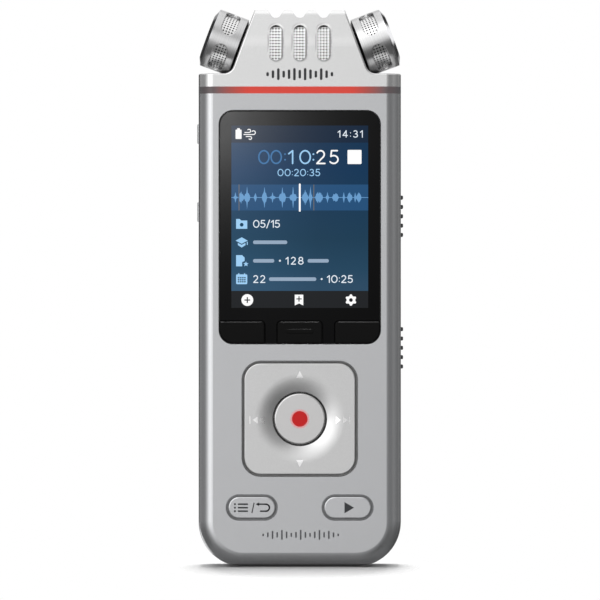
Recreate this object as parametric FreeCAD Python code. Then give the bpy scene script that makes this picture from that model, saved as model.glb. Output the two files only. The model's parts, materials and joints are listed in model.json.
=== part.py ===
"""Handheld voice recorder with a colour display, two tilted microphone drums and a key pad.

Millimetres. +Z is up along the recorder, the front faces -Y, and the origin is the middle of its foot.
"""

import FreeCAD
import Part
import math
import os

V = FreeCAD.Vector

# ---- driving dimensions -------------------------------------------------------------------------

# Body shells
BODY_WIDTH = 45.4
BODY_DEPTH = 17.0
BODY_TOP = 106.1
WALL = 1.6
FRONT_ROLL = 3.3
REAR_ROLL = 4.0
FOOT_CORNER = 10.1
SPLIT_Y = 2.2
SEAM_WIDTH = 0.24
SEAM_DEPTH = 0.2
LIP_THICKNESS = 0.8
LIP_REACH = 1.5
LIP_GAP = 0.05

# Head
HEAD_BASE = 107.65
HEAD_TOP = 124.9
SHOULDER_TOP = 110.6
HEAD_EDGE_ROUND = 0.35
CHEEK_FOOT_X = 15.415
CHEEK_TOP_X = 10.1
CHEEK_FILLET = 2.3
SLOPE_START = 118.0
SLOPE_ANGLE = 11.0
SLOPE_BEND = 14.0
BEVEL_HEIGHT = 0.9
BEVEL_DEPTH = 0.85
BEVEL_ROUND = 0.6
HEAD_WALL = 0.8
GROOVE_PITCH = 5.35
GROOVE_HALF_WIDTH = 1.8
GROOVE_DEPTH = 1.8
GRILLE_WIDTH = 3.2
GRILLE_HEIGHT = 8.35
GRILLE_Z = 117.45
GRILLE_BEVEL = 0.22
MESH_THICKNESS = 0.3

# Microphone drums, measured along their axis from the outer face
DRUM_TILT = 20.6
DRUM_FACE_X = 20.78
DRUM_FACE_Z = 119.32
DRUM_LENGTH = 8.1
DRUM_RADIUS = 6.75
DRUM_BORE = 6.15
DRUM_CAP_LENGTH = 1.0
DRUM_CHAMFER_LENGTH = 0.7
DRUM_CHAMFER_DEPTH = 1.55
DRUM_SLOT_WIDTH = 3.3
DRUM_SLOT_HALF_ANGLE = 33.0
DRUM_SLOT_ANGLES = (48.0, 138.0, 228.0, 318.0)
DRUM_SLOT_ROUND = 0.2
DRUM_SEAT_GAP = 0.1
SPIGOT_RADIUS = 2.4
SPIGOT_LENGTH = 1.6
WIRE_RADIUS = 1.4

# Window and the keys under the display
WINDOW_WIDTH = 35.85
WINDOW_BOTTOM = 50.15
WINDOW_TOP = 102.14
WINDOW_ROUND = 3.0
WINDOW_THICKNESS = 1.0
EDGE_GAP = 0.15
DISPLAY_HALF_WIDTH = 16.4
DISPLAY_BOTTOM = 57.2
DISPLAY_TOP = 100.6
KEY_ROW_TOP = 55.05
KEY_ROW_ROUND = 0.8
KEY_ROW_SPANS = {"left": (-17.925, -7.9), "middle": (-5.0, 5.0), "right": (7.9, 17.925)}

# Navigation pad and record button
PAD_OPENING = 25.9
PAD_OPENING_ROUND = 4.25
PAD_GAP = 0.5
PAD_Z = 33.25
DISH_RADIUS = 9.9
DISH_BEND = 7.95
DISH_ROUND = 14.0
DISH_SLOPE = 15.9
BUTTON_OPENING = 6.12
BUTTON_RADIUS = 5.72
MARK_RADIUS = 1.76

# Lower keys
LOWER_KEY_X = 10.72
LOWER_KEY_Z = 13.38
LOWER_KEY_WIDTH = 11.5
LOWER_KEY_HEIGHT = 5.8
LOWER_KEY_GAP = 0.4

# Side controls
SIDE_Y = -1.3
VOLUME_UP_Z = 97.2
VOLUME_DOWN_Z = 79.65
VOLUME_KEY_HEIGHT = 4.4
VOLUME_KEY_DEPTH = 2.8
VOLUME_KEY_PROUD = 0.36
HOLD_SLIDER_Z = 78.7
MODE_SLIDER_Z = 49.1
SLIDER_TRAVEL = 2.0
RIB_PITCH = 2.1
RIB_WIDTH = 0.9
RIB_PROUD = 0.54

# Layers from front to back
LCD_FRONT = -6.85
LCD_BACK = -5.65
LCD_WIDTH = 34.4
LCD_BOTTOM = 56.25
LCD_TOP = 101.0
BOARD_FRONT = -4.4
BOARD_BACK = -3.4
DOME_HEIGHT = 0.35
PLUNGER_TIP = -5.15
BATTERY_FRONT = 1.9
BATTERY_BACK = 6.7

# Connectors, speaker and fastenings
JACK_Y = -0.93
JACK_BORE = 1.8
HEADPHONE_Z = 60.0
MICROPHONE_Z = 50.0
CARD_Z = 29.5
SPEAKER_Z = 21.5
SPEAKER_RADIUS = 9.8
TRIPOD_Z = 38.4
TRIPOD_BORE = 2.6
INSERT_RADIUS = 4.6
TOP_SCREWS = (15.5, 103.4)
FOOT_SCREWS = (16.5, 7.5)
SCREW_BORE = 1.0
BOARD_SCREWS = ((18.9, 90.0), (18.9, 14.0))

HALF_WIDTH = BODY_WIDTH / 2
FRONT_Y = -BODY_DEPTH / 2
REAR_Y = BODY_DEPTH / 2
INNER_FRONT = FRONT_Y + WALL
INNER_REAR = REAR_Y - WALL
INNER_SIDE = HALF_WIDTH - WALL
CLEARANCE = 0.05
NUDGE = 0.5

# ---- shape helpers ------------------------------------------------------------------------------


def front(u, v):
    """Point of a front-view outline: u across, v up."""
    return V(u, 0, v)


def side(u, v):
    """Point of a side-view outline: u from front to back, v up."""
    return V(0, u, v)


def plan(u, v):
    """Point of a plan-view outline: u across, v from front to back."""
    return V(u, v, 0)


def outline(points, view=front):
    """Closed face through (u, v, radius) corners, each rounded by its radius."""
    corners = []
    count = len(points)
    for i, (u, v, radius) in enumerate(points):
        corner = V(u, v, 0)
        if radius == 0:
            corners.append((corner, corner, corner))
            continue
        back = (V(*points[i - 1][:2], 0) - corner).normalize()
        ahead = (V(*points[(i + 1) % count][:2], 0) - corner).normalize()
        half = back.getAngle(ahead) / 2
        reach = radius / math.tan(half)
        centre = corner + (back + ahead).normalize() * (radius / math.sin(half))
        middle = centre + (corner - centre).normalize() * radius
        corners.append((corner + back * reach, middle, corner + ahead * reach))
    edges = []
    for (start, middle, end), following in zip(corners, corners[1:] + corners[:1]):
        if start != end:
            edges.append(Part.Arc(*(view(p.x, p.y) for p in (start, middle, end))).toShape())
        if end.distanceToPoint(following[0]) > 1e-6:
            line = Part.LineSegment(view(end.x, end.y), view(following[0].x, following[0].y))
            edges.append(line.toShape())
    return Part.Face(Part.Wire(edges))


def rectangle(u, v, width, height, radius=0.0):
    """Corners of a rectangle about (u, v), for outline()."""
    left, right = u - width / 2, u + width / 2
    low, high = v - height / 2, v + height / 2
    return [(left, low, radius), (right, low, radius), (right, high, radius), (left, high, radius)]


def stadium(u, v, width, height):
    """Corners of a slot with round ends about (u, v), for outline()."""
    return rectangle(u, v, width, height, min(width, height) / 2)


def slab(points, y0, y1):
    """Front-view outline made solid between y0 and y1."""
    return outline(points).translated(V(0, y0, 0)).extrude(V(0, y1 - y0, 0))


def across(points, half_width):
    """Side-view outline made solid from -half_width to +half_width in X."""
    return outline(points, side).translated(V(-half_width, 0, 0)).extrude(V(2 * half_width, 0, 0))


def box(x0, x1, y0, y1, z0, z1):
    """Box between two corners."""
    return Part.makeBox(x1 - x0, y1 - y0, z1 - z0, V(x0, y0, z0))


def rod(radius, y0, y1, x, z):
    """Round rod along Y."""
    return Part.makeCylinder(radius, y1 - y0, V(x, y0, z), V(0, 1, 0))


def ring(outer, inner, y0, y1, x, z):
    """Round tube along Y."""
    return rod(outer, y0, y1, x, z).cut(rod(inner, y0 - NUDGE, y1 + NUDGE, x, z))


def turned(profile):
    """Closed (radius, height) profile turned about Z."""
    corners = [(r, h, 0) for r, h in profile]
    return outline(corners).revolve(V(0, 0, 0), V(0, 0, 1), 360)


def edges_at_y(shape, y, x_reach=1e3, z0=-1e3, z1=1e3):
    """Edges that lie in the plane at y, within x_reach of the middle and between z0 and z1."""
    found = []
    for edge in shape.Edges:
        bounds = edge.BoundBox
        flat = abs(bounds.YMin - y) < 1e-4 and abs(bounds.YMax - y) < 1e-4
        near = max(abs(bounds.XMin), abs(bounds.XMax)) < x_reach
        if flat and near and bounds.ZMin > z0 and bounds.ZMax < z1:
            found.append(edge)
    return found


def both_sides(shape):
    """A right-hand piece and its mirror image on the left."""
    return [shape, shape.mirror(V(0, 0, 0), V(1, 0, 0))]


def wire_lead(points, radius):
    """Insulated wire along straight runs with round bends."""
    bend = 4 * radius
    edges = []
    start = points[0]
    for before, corner, after in zip(points, points[1:], points[2:]):
        back = (before - corner).normalize()
        ahead = (after - corner).normalize()
        half = back.getAngle(ahead) / 2
        reach = bend / math.tan(half)
        centre = corner + (back + ahead).normalize() * (bend / math.sin(half))
        middle = centre + (corner - centre).normalize() * bend
        entry, leave = corner + back * reach, corner + ahead * reach
        edges.append(Part.LineSegment(start, entry).toShape())
        edges.append(Part.Arc(entry, middle, leave).toShape())
        start = leave
    edges.append(Part.LineSegment(start, points[-1]).toShape())
    section = Part.Wire(Part.makeCircle(radius, points[0], points[1] - points[0]))
    return Part.Wire(edges).makePipeShell([section], True, False)


# ---- shared volumes -----------------------------------------------------------------------------


def envelope(inset, top):
    """Outer volume of the recorder's body up to top, shrunk by inset on every side."""
    half = HALF_WIDTH - inset
    corner = FOOT_CORNER - inset
    corners = [(-half, inset, corner), (half, inset, corner), (half, top, 0), (-half, top, 0)]
    block = slab(corners, FRONT_Y + inset, REAR_Y - inset)
    for y, roll in ((FRONT_Y + inset, FRONT_ROLL - inset), (REAR_Y - inset, REAR_ROLL - inset)):
        block = block.makeFillet(roll, edges_at_y(block, y, z1=top - NUDGE) + long_edges(block, y, top))
    return block


def long_edges(block, y, top):
    """The two upright edges of a body block in the plane at y, which run up to its top."""
    upright = []
    for edge in edges_at_y(block, y):
        bounds = edge.BoundBox
        if bounds.ZMax > top - NUDGE and bounds.ZMin < top - NUDGE:
            upright.append(edge)
    return upright


def slice_between(shape, z0, z1):
    """The part of a shape between two heights."""
    reach = BODY_WIDTH
    return shape.common(box(-reach, reach, -reach, reach, z0, z1))


def head_profile(drop, wall):
    """Side-view corners of the head, with its front and back moved in by wall and its top down."""
    top = HEAD_TOP - drop
    bevel_z = HEAD_TOP - BEVEL_HEIGHT - drop
    slope = math.tan(math.radians(SLOPE_ANGLE))
    face = REAR_Y - wall
    edge = face - (bevel_z - SLOPE_START) * slope
    right = [(face, HEAD_BASE - NUDGE, 0), (face, SLOPE_START, SLOPE_BEND - wall),
             (edge, bevel_z, BEVEL_ROUND), (edge - BEVEL_DEPTH, top, BEVEL_ROUND)]
    left = [(-y, z, radius) for y, z, radius in reversed(right)]
    return right + left


def groove_corners(x):
    """Corners of one groove across the head's top, from right to left."""
    low = HEAD_TOP - GROOVE_DEPTH
    return [(x + GROOVE_HALF_WIDTH, HEAD_TOP, 0.7), (x + 0.7, low, 1.0),
            (x - 0.7, low, 1.0), (x - GROOVE_HALF_WIDTH, HEAD_TOP, 0.7)]


def drum_axis():
    """Outer face centre and inward direction of the right-hand drum."""
    tilt = math.radians(DRUM_TILT)
    return V(DRUM_FACE_X, 0, DRUM_FACE_Z), V(-math.cos(tilt), 0, -math.sin(tilt))


def on_drum_axis(shape):
    """A shape made along +Z from the outer face, placed on the right-hand drum's axis."""
    start, _ = drum_axis()
    turn = FreeCAD.Rotation(V(0, 1, 0), -(90 + DRUM_TILT))
    return shape.transformed(FreeCAD.Placement(start, turn).toMatrix())


# ---- shells -------------------------------------------------------------------------------------


def window_corners(gap=0.0):
    """Rounded window outline, grown by gap."""
    middle = (WINDOW_BOTTOM + WINDOW_TOP) / 2
    height = WINDOW_TOP - WINDOW_BOTTOM
    return rectangle(0, middle, WINDOW_WIDTH + 2 * gap, height + 2 * gap, WINDOW_ROUND + gap)


def key_row_corners(name, gap=0.0):
    """Outline of one key under the display, grown by gap, before the window trims it."""
    left, right = KEY_ROW_SPANS[name]
    low, high = WINDOW_BOTTOM - 2 * gap, KEY_ROW_TOP + gap
    round_left = 0 if name == "left" else KEY_ROW_ROUND + gap
    round_right = 0 if name == "right" else KEY_ROW_ROUND + gap
    return [(left - gap, low, 0), (right + gap, low, 0),
            (right + gap, high, round_right), (left - gap, high, round_left)]


def seam_groove():
    """Thin frame that is taken off the shells where they meet."""
    half = SEAM_WIDTH / 2
    band = box(-HALF_WIDTH - 1, HALF_WIDTH + 1, SPLIT_Y - half, SPLIT_Y + half, -1, BODY_TOP + 1)
    return envelope(0, BODY_TOP + 2).cut(envelope(SEAM_DEPTH, BODY_TOP + 3)).common(band)


def shell_halves():
    """Front and rear halves of the hollow body."""
    hollow = envelope(0, BODY_TOP).cut(envelope(WALL, BODY_TOP + 2)).cut(seam_groove())
    reach = BODY_WIDTH
    ahead = box(-reach, reach, -reach, SPLIT_Y, -1, BODY_TOP + 1)
    return hollow.common(ahead), hollow.cut(ahead)


def side_slot(x_sign, z, depth, height):
    """Cutter for an opening through a side wall."""
    near, far = INNER_SIDE - NUDGE, HALF_WIDTH + NUDGE
    x0, x1 = (near, far) if x_sign > 0 else (-far, -near)
    return box(x0, x1, SIDE_Y - depth / 2, SIDE_Y + depth / 2, z - height / 2, z + height / 2)


def slider_slot(z):
    """Cutter for a slider's slot, which runs on above the knob's rest place."""
    length = slider_length() + SLIDER_TRAVEL + 2 * 0.1
    return side_slot(1, z + SLIDER_TRAVEL / 2, 3.1, length)


def slider_length():
    """Length of a slide knob."""
    return 4 * RIB_PITCH + RIB_WIDTH + 0.4


def screw_places():
    """The four places of the case screws."""
    return [(sign * x, z) for x, z in (TOP_SCREWS, FOOT_SCREWS) for sign in (1, -1)]


def board_screw_places():
    """The four places of the board screws."""
    return [(sign * x, z) for x, z in BOARD_SCREWS for sign in (1, -1)]


def front_cover(shell):
    """Front shell with its window pocket, key openings, side openings and screw posts."""
    openings = [
        slab(window_corners(EDGE_GAP), FRONT_Y - 1, FRONT_Y + WINDOW_THICKNESS),
        slab(rectangle(0, (DISPLAY_BOTTOM + DISPLAY_TOP) / 2, 2 * DISPLAY_HALF_WIDTH,
                       DISPLAY_TOP - DISPLAY_BOTTOM, 1.0), FRONT_Y, INNER_FRONT + NUDGE),
        slab(rectangle(0, PAD_Z, PAD_OPENING, PAD_OPENING, PAD_OPENING_ROUND),
             FRONT_Y - 1, INNER_FRONT + NUDGE),
    ]
    for sign in (1, -1):
        openings.append(slab(stadium(sign * LOWER_KEY_X, LOWER_KEY_Z, LOWER_KEY_WIDTH,
                                     LOWER_KEY_HEIGHT), FRONT_Y - 1, INNER_FRONT + NUDGE))
    window_hole = slab(window_corners(EDGE_GAP), FRONT_Y, INNER_FRONT + NUDGE)
    for name in KEY_ROW_SPANS:
        openings.append(slab(key_row_corners(name, EDGE_GAP), FRONT_Y, INNER_FRONT + NUDGE)
                        .common(window_hole))
    for z in (VOLUME_UP_Z, VOLUME_DOWN_Z):
        openings.append(side_slot(-1, z, VOLUME_KEY_DEPTH + 0.1, VOLUME_KEY_HEIGHT + 0.1))
    openings += [slider_slot(HOLD_SLIDER_Z), slider_slot(MODE_SLIDER_Z)]
    for z in (HEADPHONE_Z, MICROPHONE_Z):
        openings.append(Part.makeCylinder(2.45, 3, V(-HALF_WIDTH - 1, JACK_Y, z), V(1, 0, 0)))
    openings.append(box(INNER_SIDE - 0.3, HALF_WIDTH + 1, -2.95, -1.85, CARD_Z - 5.8, CARD_Z + 5.8))
    openings.append(box(-4.1, 4.1, -3.6, -0.5, -1, WALL + NUDGE))
    shell = shell.cut(openings)

    rims = edges_at_y(shell, FRONT_Y, x_reach=WINDOW_WIDTH / 2 + 1, z0=10, z1=WINDOW_TOP + 1)
    shell = shell.makeChamfer(0.12, rims)

    posts = []
    for x, z in screw_places():
        posts.append(rod(2.2, INNER_FRONT - CLEARANCE, 0, x, z).cut(rod(SCREW_BORE, -5.2, 1, x, z)))
    for x, z in board_screw_places():
        post = rod(1.2, INNER_FRONT - CLEARANCE, BOARD_FRONT, x, z)
        posts.append(post.cut(rod(0.65, -6.3, 0, x, z)))
    for sign in (1, -1):
        rib_x = sign * 17.75
        posts.append(box(rib_x - 0.4, rib_x + 0.4, INNER_FRONT - CLEARANCE, -5.2, 58.0, 84.0))
    return shell.fuse(posts).removeSplitter()


def rear_cover(shell):
    """Rear shell with a lip inside the front one, screw towers, grille and tripod boss."""
    outer_inset = WALL + LIP_GAP
    lip = envelope(outer_inset, BODY_TOP).cut(envelope(outer_inset + LIP_THICKNESS, BODY_TOP + 2))
    lip = lip.common(box(-30, 30, SPLIT_Y - LIP_REACH, SPLIT_Y + 0.8, 0, 98.0))
    foothold = envelope(WALL - CLEARANCE, BODY_TOP).cut(envelope(outer_inset + 0.4, BODY_TOP + 2))
    foothold = foothold.common(box(-30, 30, SPLIT_Y + 0.3, SPLIT_Y + 0.8, 0, 98.0))
    jack_notch = box(-22, -19, 0, SPLIT_Y, MICROPHONE_Z - 3.6, HEADPHONE_Z + 3.6)
    lip = lip.fuse(foothold).cut(jack_notch)

    parts = [lip]
    for x, z in screw_places():
        parts.append(rod(2.6, 1.2, INNER_REAR + CLEARANCE, x, z))
    parts.append(rod(6.2, 3.0, INNER_REAR + CLEARANCE, 0, TRIPOD_Z))
    cover = shell.fuse(parts)

    cutters = [rod(INSERT_RADIUS, 3.6, REAR_Y + 1, 0, TRIPOD_Z)]
    for x, z in screw_places():
        cutters += [rod(1.1, 0, REAR_Y, x, z), rod(1.95, 3.5, REAR_Y + 1, x, z)]
    cutters += [rod(0.5, INNER_REAR - NUDGE, REAR_Y + 1, x, z) for x, z in grille_places()]
    return cover.cut(cutters).removeSplitter()


def grille_places():
    """Speaker holes on rings of six, twelve and eighteen about a middle one."""
    places = [(0, SPEAKER_Z)]
    for step in (1, 2, 3):
        for i in range(6 * step):
            angle = math.radians(60 * i / step)
            places.append((2.0 * step * math.cos(angle), SPEAKER_Z + 2.0 * step * math.sin(angle)))
    return places


def light_ring():
    """Translucent band between body and head, with a light guide that reaches the board."""
    band = slice_between(envelope(0, HEAD_BASE + 1).cut(envelope(WALL, HEAD_BASE + 2)),
                         BODY_TOP, HEAD_BASE)
    guide = box(-10.5, 10.5, INNER_FRONT + CLEARANCE, -5.5, 103.9, HEAD_BASE)
    bridge = box(-10.5, 10.5, INNER_FRONT - CLEARANCE, -5.5, BODY_TOP + 0.1, HEAD_BASE)
    return band.fuse([guide, bridge]).removeSplitter()


def mic_head():
    """Silver cap with sloped cheeks, grooves across its top and three grille slots."""
    corners = [(-HALF_WIDTH, HEAD_BASE, 0), (HALF_WIDTH, HEAD_BASE, 0), (HALF_WIDTH, SHOULDER_TOP, 0),
               (CHEEK_FOOT_X, SHOULDER_TOP, CHEEK_FILLET), (CHEEK_TOP_X, HEAD_TOP, 0)]
    for x in (GROOVE_PITCH, 0, -GROOVE_PITCH):
        corners += groove_corners(x)
    corners += [(-CHEEK_TOP_X, HEAD_TOP, 0), (-CHEEK_FOOT_X, SHOULDER_TOP, CHEEK_FILLET),
                (-HALF_WIDTH, SHOULDER_TOP, 0)]
    head = slab(corners, FRONT_Y - 1, REAR_Y + 1)
    head = head.common(across(head_profile(0, 0), HALF_WIDTH + 1))
    for y, roll in ((FRONT_Y, FRONT_ROLL), (REAR_Y, REAR_ROLL)):
        head = head.makeFillet(roll, shoulder_uprights(head, y))
    head = head.makeFillet(HEAD_EDGE_ROUND, head_rims(head))

    hollow = slab(head_hollow_corners(), INNER_FRONT, INNER_REAR)
    hollow = hollow.common(envelope(WALL, HEAD_TOP + 5))
    hollow = hollow.common(across(head_profile(2.9, WALL), HALF_WIDTH))
    pocket = slice_between(across(head_profile(2.9, HEAD_WALL), 7.4), 112.5, 122.0)
    slots = [slab(stadium(x, GRILLE_Z, GRILLE_WIDTH, GRILLE_HEIGHT), FRONT_Y - 1, -6)
             for x in (-GROOVE_PITCH, 0, GROOVE_PITCH)]
    head = head.cut([hollow, pocket]).cut(slots)
    head = head.makeChamfer(GRILLE_BEVEL, grille_rims(head))

    seat = Part.makeCylinder(DRUM_RADIUS + DRUM_SEAT_GAP, DRUM_LENGTH + 1).translated(V(0, 0, -1))
    spigot_hole = Part.makeCylinder(SPIGOT_RADIUS + CLEARANCE, 4).translated(V(0, 0, DRUM_LENGTH - 1))
    head = head.cut([piece for cutter in (seat, spigot_hole) for piece in both_sides(on_drum_axis(cutter))])

    tongue = box(19.6, INNER_SIDE - CLEARANCE, -4, 4, 101.0, 109.2)
    posts = [rod(1.7, 1.2, INNER_REAR + CLEARANCE, sign * 6.5, 112.0).cut(
        rod(0.65, 0, 5, sign * 6.5, 112.0)) for sign in (1, -1)]
    return head.fuse(both_sides(tongue) + posts).removeSplitter()


def shoulder_uprights(head, y):
    """The two upright edges of the head's shoulders in the plane at y."""
    return [edge for edge in edges_at_y(head, y) if abs(edge.BoundBox.XMin) > HALF_WIDTH - 0.01
            and edge.BoundBox.XLength < 0.01]


def head_rims(head):
    """Edges that run round each shoulder and up the cheek, at the front and the back."""
    found = []
    for edge in head.Edges:
        bounds = edge.BoundBox
        middle = edge.valueAt((edge.FirstParameter + edge.LastParameter) / 2)
        beside = abs(middle.x) > CHEEK_TOP_X - 0.1
        above = bounds.ZMin > SHOULDER_TOP - 0.01 and bounds.ZMax < HEAD_TOP - BEVEL_HEIGHT + 0.1
        outside = abs(middle.y) > 4 or abs(middle.x) > HALF_WIDTH - 0.1
        if beside and above and outside and (bounds.YLength < 6 or abs(middle.x) > 22):
            found.append(edge)
    return found


def head_hollow_corners():
    """Front-view outline of the room inside the head."""
    cheek_x, cheek_z = CHEEK_FOOT_X - CHEEK_TOP_X, HEAD_TOP - SHOULDER_TOP
    wall_x = 1.6 / (cheek_z / math.hypot(cheek_x, cheek_z))
    roof, ceiling = SHOULDER_TOP - WALL, HEAD_TOP - 2.9

    def inner_cheek(z):
        return CHEEK_FOOT_X - wall_x - (z - SHOULDER_TOP) * cheek_x / cheek_z

    right = [(INNER_SIDE, HEAD_BASE - NUDGE, 0), (INNER_SIDE, roof, 0),
             (inner_cheek(roof), roof, 0), (inner_cheek(ceiling), ceiling, 0)]
    return right + [(-x, z, radius) for x, z, radius in reversed(right)]


def grille_rims(head):
    """Outer edges of the three grille slots."""
    found = []
    for edge in head.Edges:
        bounds = edge.BoundBox
        in_height = bounds.ZMin > GRILLE_Z - GRILLE_HEIGHT / 2 - 0.1 and bounds.ZMax < 121.8
        in_width = max(abs(bounds.XMin), abs(bounds.XMax)) < GROOVE_PITCH + GRILLE_WIDTH / 2 + 0.1
        depth = FRONT_Y + max(0, bounds.ZMin - SLOPE_START) * 0.2
        if in_height and in_width and bounds.YMin < depth + 0.2 and bounds.YMax < depth + 0.75:
            along = bounds.ZMax - bounds.ZMin > 0.05 or bounds.XMax - bounds.XMin > 0.05
            if along and bounds.YMax - bounds.YMin < 0.9:
                found.append(edge)
    return found


def centre_mic_mesh():
    """Perforated strip that lines the head's front behind the three slots."""
    outside = across(head_profile(2.9, HEAD_WALL), 7.2)
    strip = outside.cut(outside.translated(V(0, MESH_THICKNESS, 0)))
    return strip.common(box(-8, 8, FRONT_Y, -4, 112.7, 121.9))


# ---- microphone drums ---------------------------------------------------------------------------


def drum_barrel():
    """Right-hand barrel: four slots, a closed inner end and a spigot that enters the head."""
    shoulder = DRUM_LENGTH - DRUM_CHAMFER_LENGTH
    face = DRUM_RADIUS - DRUM_CHAMFER_DEPTH
    body = turned([(0, DRUM_CAP_LENGTH), (DRUM_RADIUS, DRUM_CAP_LENGTH), (DRUM_RADIUS, shoulder),
                   (face, DRUM_LENGTH), (SPIGOT_RADIUS, DRUM_LENGTH),
                   (SPIGOT_RADIUS, DRUM_LENGTH + SPIGOT_LENGTH), (0, DRUM_LENGTH + SPIGOT_LENGTH)])
    body = body.cut([Part.makeCylinder(DRUM_BORE, 7.0), Part.makeCylinder(WIRE_RADIUS, 12)])
    middle = DRUM_LENGTH / 2
    length = 2 * DRUM_RADIUS * math.sin(math.radians(DRUM_SLOT_HALF_ANGLE))
    cutter = slab(stadium(0, middle, length, DRUM_SLOT_WIDTH), -DRUM_RADIUS - 1, -3)
    for angle in DRUM_SLOT_ANGLES:
        body = body.cut(cutter.rotated(V(0, 0, 0), V(0, 0, 1), angle))
    rims = []
    for edge in body.Edges:
        bounds = edge.BoundBox
        on_skin = all(abs(math.hypot(v.X, v.Y) - DRUM_RADIUS) < 1e-3 for v in edge.Vertexes)
        inside = bounds.ZMin > middle - 2 and bounds.ZMax < middle + 2
        if on_skin and inside:
            rims.append(edge)
    return on_drum_axis(body.makeFillet(DRUM_SLOT_ROUND, rims))


def drum_cap():
    """Polished outer end of the right-hand drum."""
    face = DRUM_RADIUS - DRUM_CHAMFER_DEPTH
    inner = DRUM_BORE - CLEARANCE
    return on_drum_axis(turned([(0, 0), (face, 0), (DRUM_RADIUS, DRUM_CHAMFER_LENGTH),
                                (DRUM_RADIUS, DRUM_CAP_LENGTH), (inner, DRUM_CAP_LENGTH),
                                (inner, 1.5), (inner - 0.8, 1.5), (inner - 0.8, DRUM_CAP_LENGTH),
                                (0, DRUM_CAP_LENGTH)]))


def tube_on_drum_axis(outer, inner, start, end):
    """Tube, or a plug when inner is 0, on the right-hand drum's axis."""
    tube = Part.makeCylinder(outer, end - start, V(0, 0, start))
    if inner:
        tube = tube.cut(Part.makeCylinder(inner, end - start + 2, V(0, 0, start - 1)))
    return on_drum_axis(tube)


# ---- keys ---------------------------------------------------------------------------------------


def function_key(name):
    """Key under the display, with a flange behind the ledge and a plunger towards its dome."""
    cap = slab(key_row_corners(name), FRONT_Y, INNER_FRONT + NUDGE)
    cap = cap.common(slab(window_corners(), FRONT_Y - 1, INNER_FRONT + 1))
    cap = cap.makeFillet(0.2, edges_at_y(cap, FRONT_Y))
    left, right = KEY_ROW_SPANS[name]
    middle, height = (WINDOW_BOTTOM + KEY_ROW_TOP) / 2, KEY_ROW_TOP - WINDOW_BOTTOM
    flange = slab(rectangle((left + right) / 2, middle - 0.1, right - left + 1.4, height + 1.2, 0.6),
                  INNER_FRONT + CLEARANCE, INNER_FRONT + 0.75)
    plunger = rod(1.2, INNER_FRONT, PLUNGER_TIP, (left + right) / 2, middle)
    pieces = [flange, plunger]
    if name == "middle":
        bar = slab(rectangle(0, 52.9, 6.0, 0.95, 0.3), FRONT_Y - 0.12, FRONT_Y + 0.2)
        pieces.append(bar.makeFillet(0.08, edges_at_y(bar, FRONT_Y - 0.12)))
    return cap.fuse(pieces).removeSplitter()


def navigation_pad():
    """Square four-way pad with a dish round the record button and a flange behind the wall."""
    width = PAD_OPENING - 2 * PAD_GAP
    pad = slab(rectangle(0, PAD_Z, width, width, PAD_OPENING_ROUND - PAD_GAP), FRONT_Y, -5.6)
    pad = pad.makeFillet(0.25, edges_at_y(pad, FRONT_Y))
    flange = slab(rectangle(0, PAD_Z, 26.8, 26.8, 4.0), -6.3, -5.6)
    well = rod(7.0, -5.9, -5, 0, PAD_Z)
    hole = rod(BUTTON_OPENING, FRONT_Y - 1, -5, 0, PAD_Z)
    deep = FRONT_Y + (DISH_BEND - BUTTON_OPENING + 0.3) * math.tan(math.radians(DISH_SLOPE))
    dish = outline([(0, deep, 0), (BUTTON_OPENING - 0.3, deep, 0), (DISH_BEND, FRONT_Y, DISH_ROUND),
                    (DISH_RADIUS + 0.1, FRONT_Y, 0), (DISH_RADIUS + 0.1, FRONT_Y - 1, 0),
                    (0, FRONT_Y - 1, 0)], plan)
    dish = dish.revolve(V(0, 0, 0), V(0, 1, 0), 360).translated(V(0, 0, PAD_Z))
    return pad.fuse(flange).cut([dish, well, hole]).removeSplitter()


def pad_gimbal():
    """Ring behind the pad that rocks about X and carries the pad's own rocking about Z."""
    return ring(8.4, 7.0, -5.4, -5.0, 0, PAD_Z)


def record_button():
    """Round key in the middle of the pad, with a pocket for its red inlay."""
    face = FRONT_Y + 0.1
    profile = outline([(0, face, 0), (BUTTON_RADIUS - 0.06, face, 0.3), (BUTTON_RADIUS, face + 0.5, 0),
                       (BUTTON_RADIUS, -5.5, 0), (6.3, -5.5, 0), (6.3, PLUNGER_TIP, 0),
                       (0, PLUNGER_TIP, 0)], plan)
    button = profile.revolve(V(0, 0, 0), V(0, 1, 0), 360).translated(V(0, 0, PAD_Z))
    return button.cut(rod(MARK_RADIUS, face - 1, face + 0.6, 0, PAD_Z))


def record_mark():
    """Red inlay of the record button."""
    return rod(MARK_RADIUS, FRONT_Y + 0.12, FRONT_Y + 0.7, 0, PAD_Z)


def lower_key(sign):
    """Stadium-shaped key near the foot, with a flange and a plunger."""
    x, gap = sign * LOWER_KEY_X, LOWER_KEY_GAP
    cap = slab(stadium(x, LOWER_KEY_Z, LOWER_KEY_WIDTH - 2 * gap, LOWER_KEY_HEIGHT - 2 * gap),
               FRONT_Y, INNER_FRONT + NUDGE)
    cap = cap.makeFillet(0.35, edges_at_y(cap, FRONT_Y))
    flange = slab(stadium(x, LOWER_KEY_Z, LOWER_KEY_WIDTH + 1.2, LOWER_KEY_HEIGHT + 1.2),
                  INNER_FRONT + CLEARANCE, INNER_FRONT + 0.75)
    return cap.fuse([flange, rod(1.2, INNER_FRONT, PLUNGER_TIP, x, LOWER_KEY_Z)]).removeSplitter()


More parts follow.
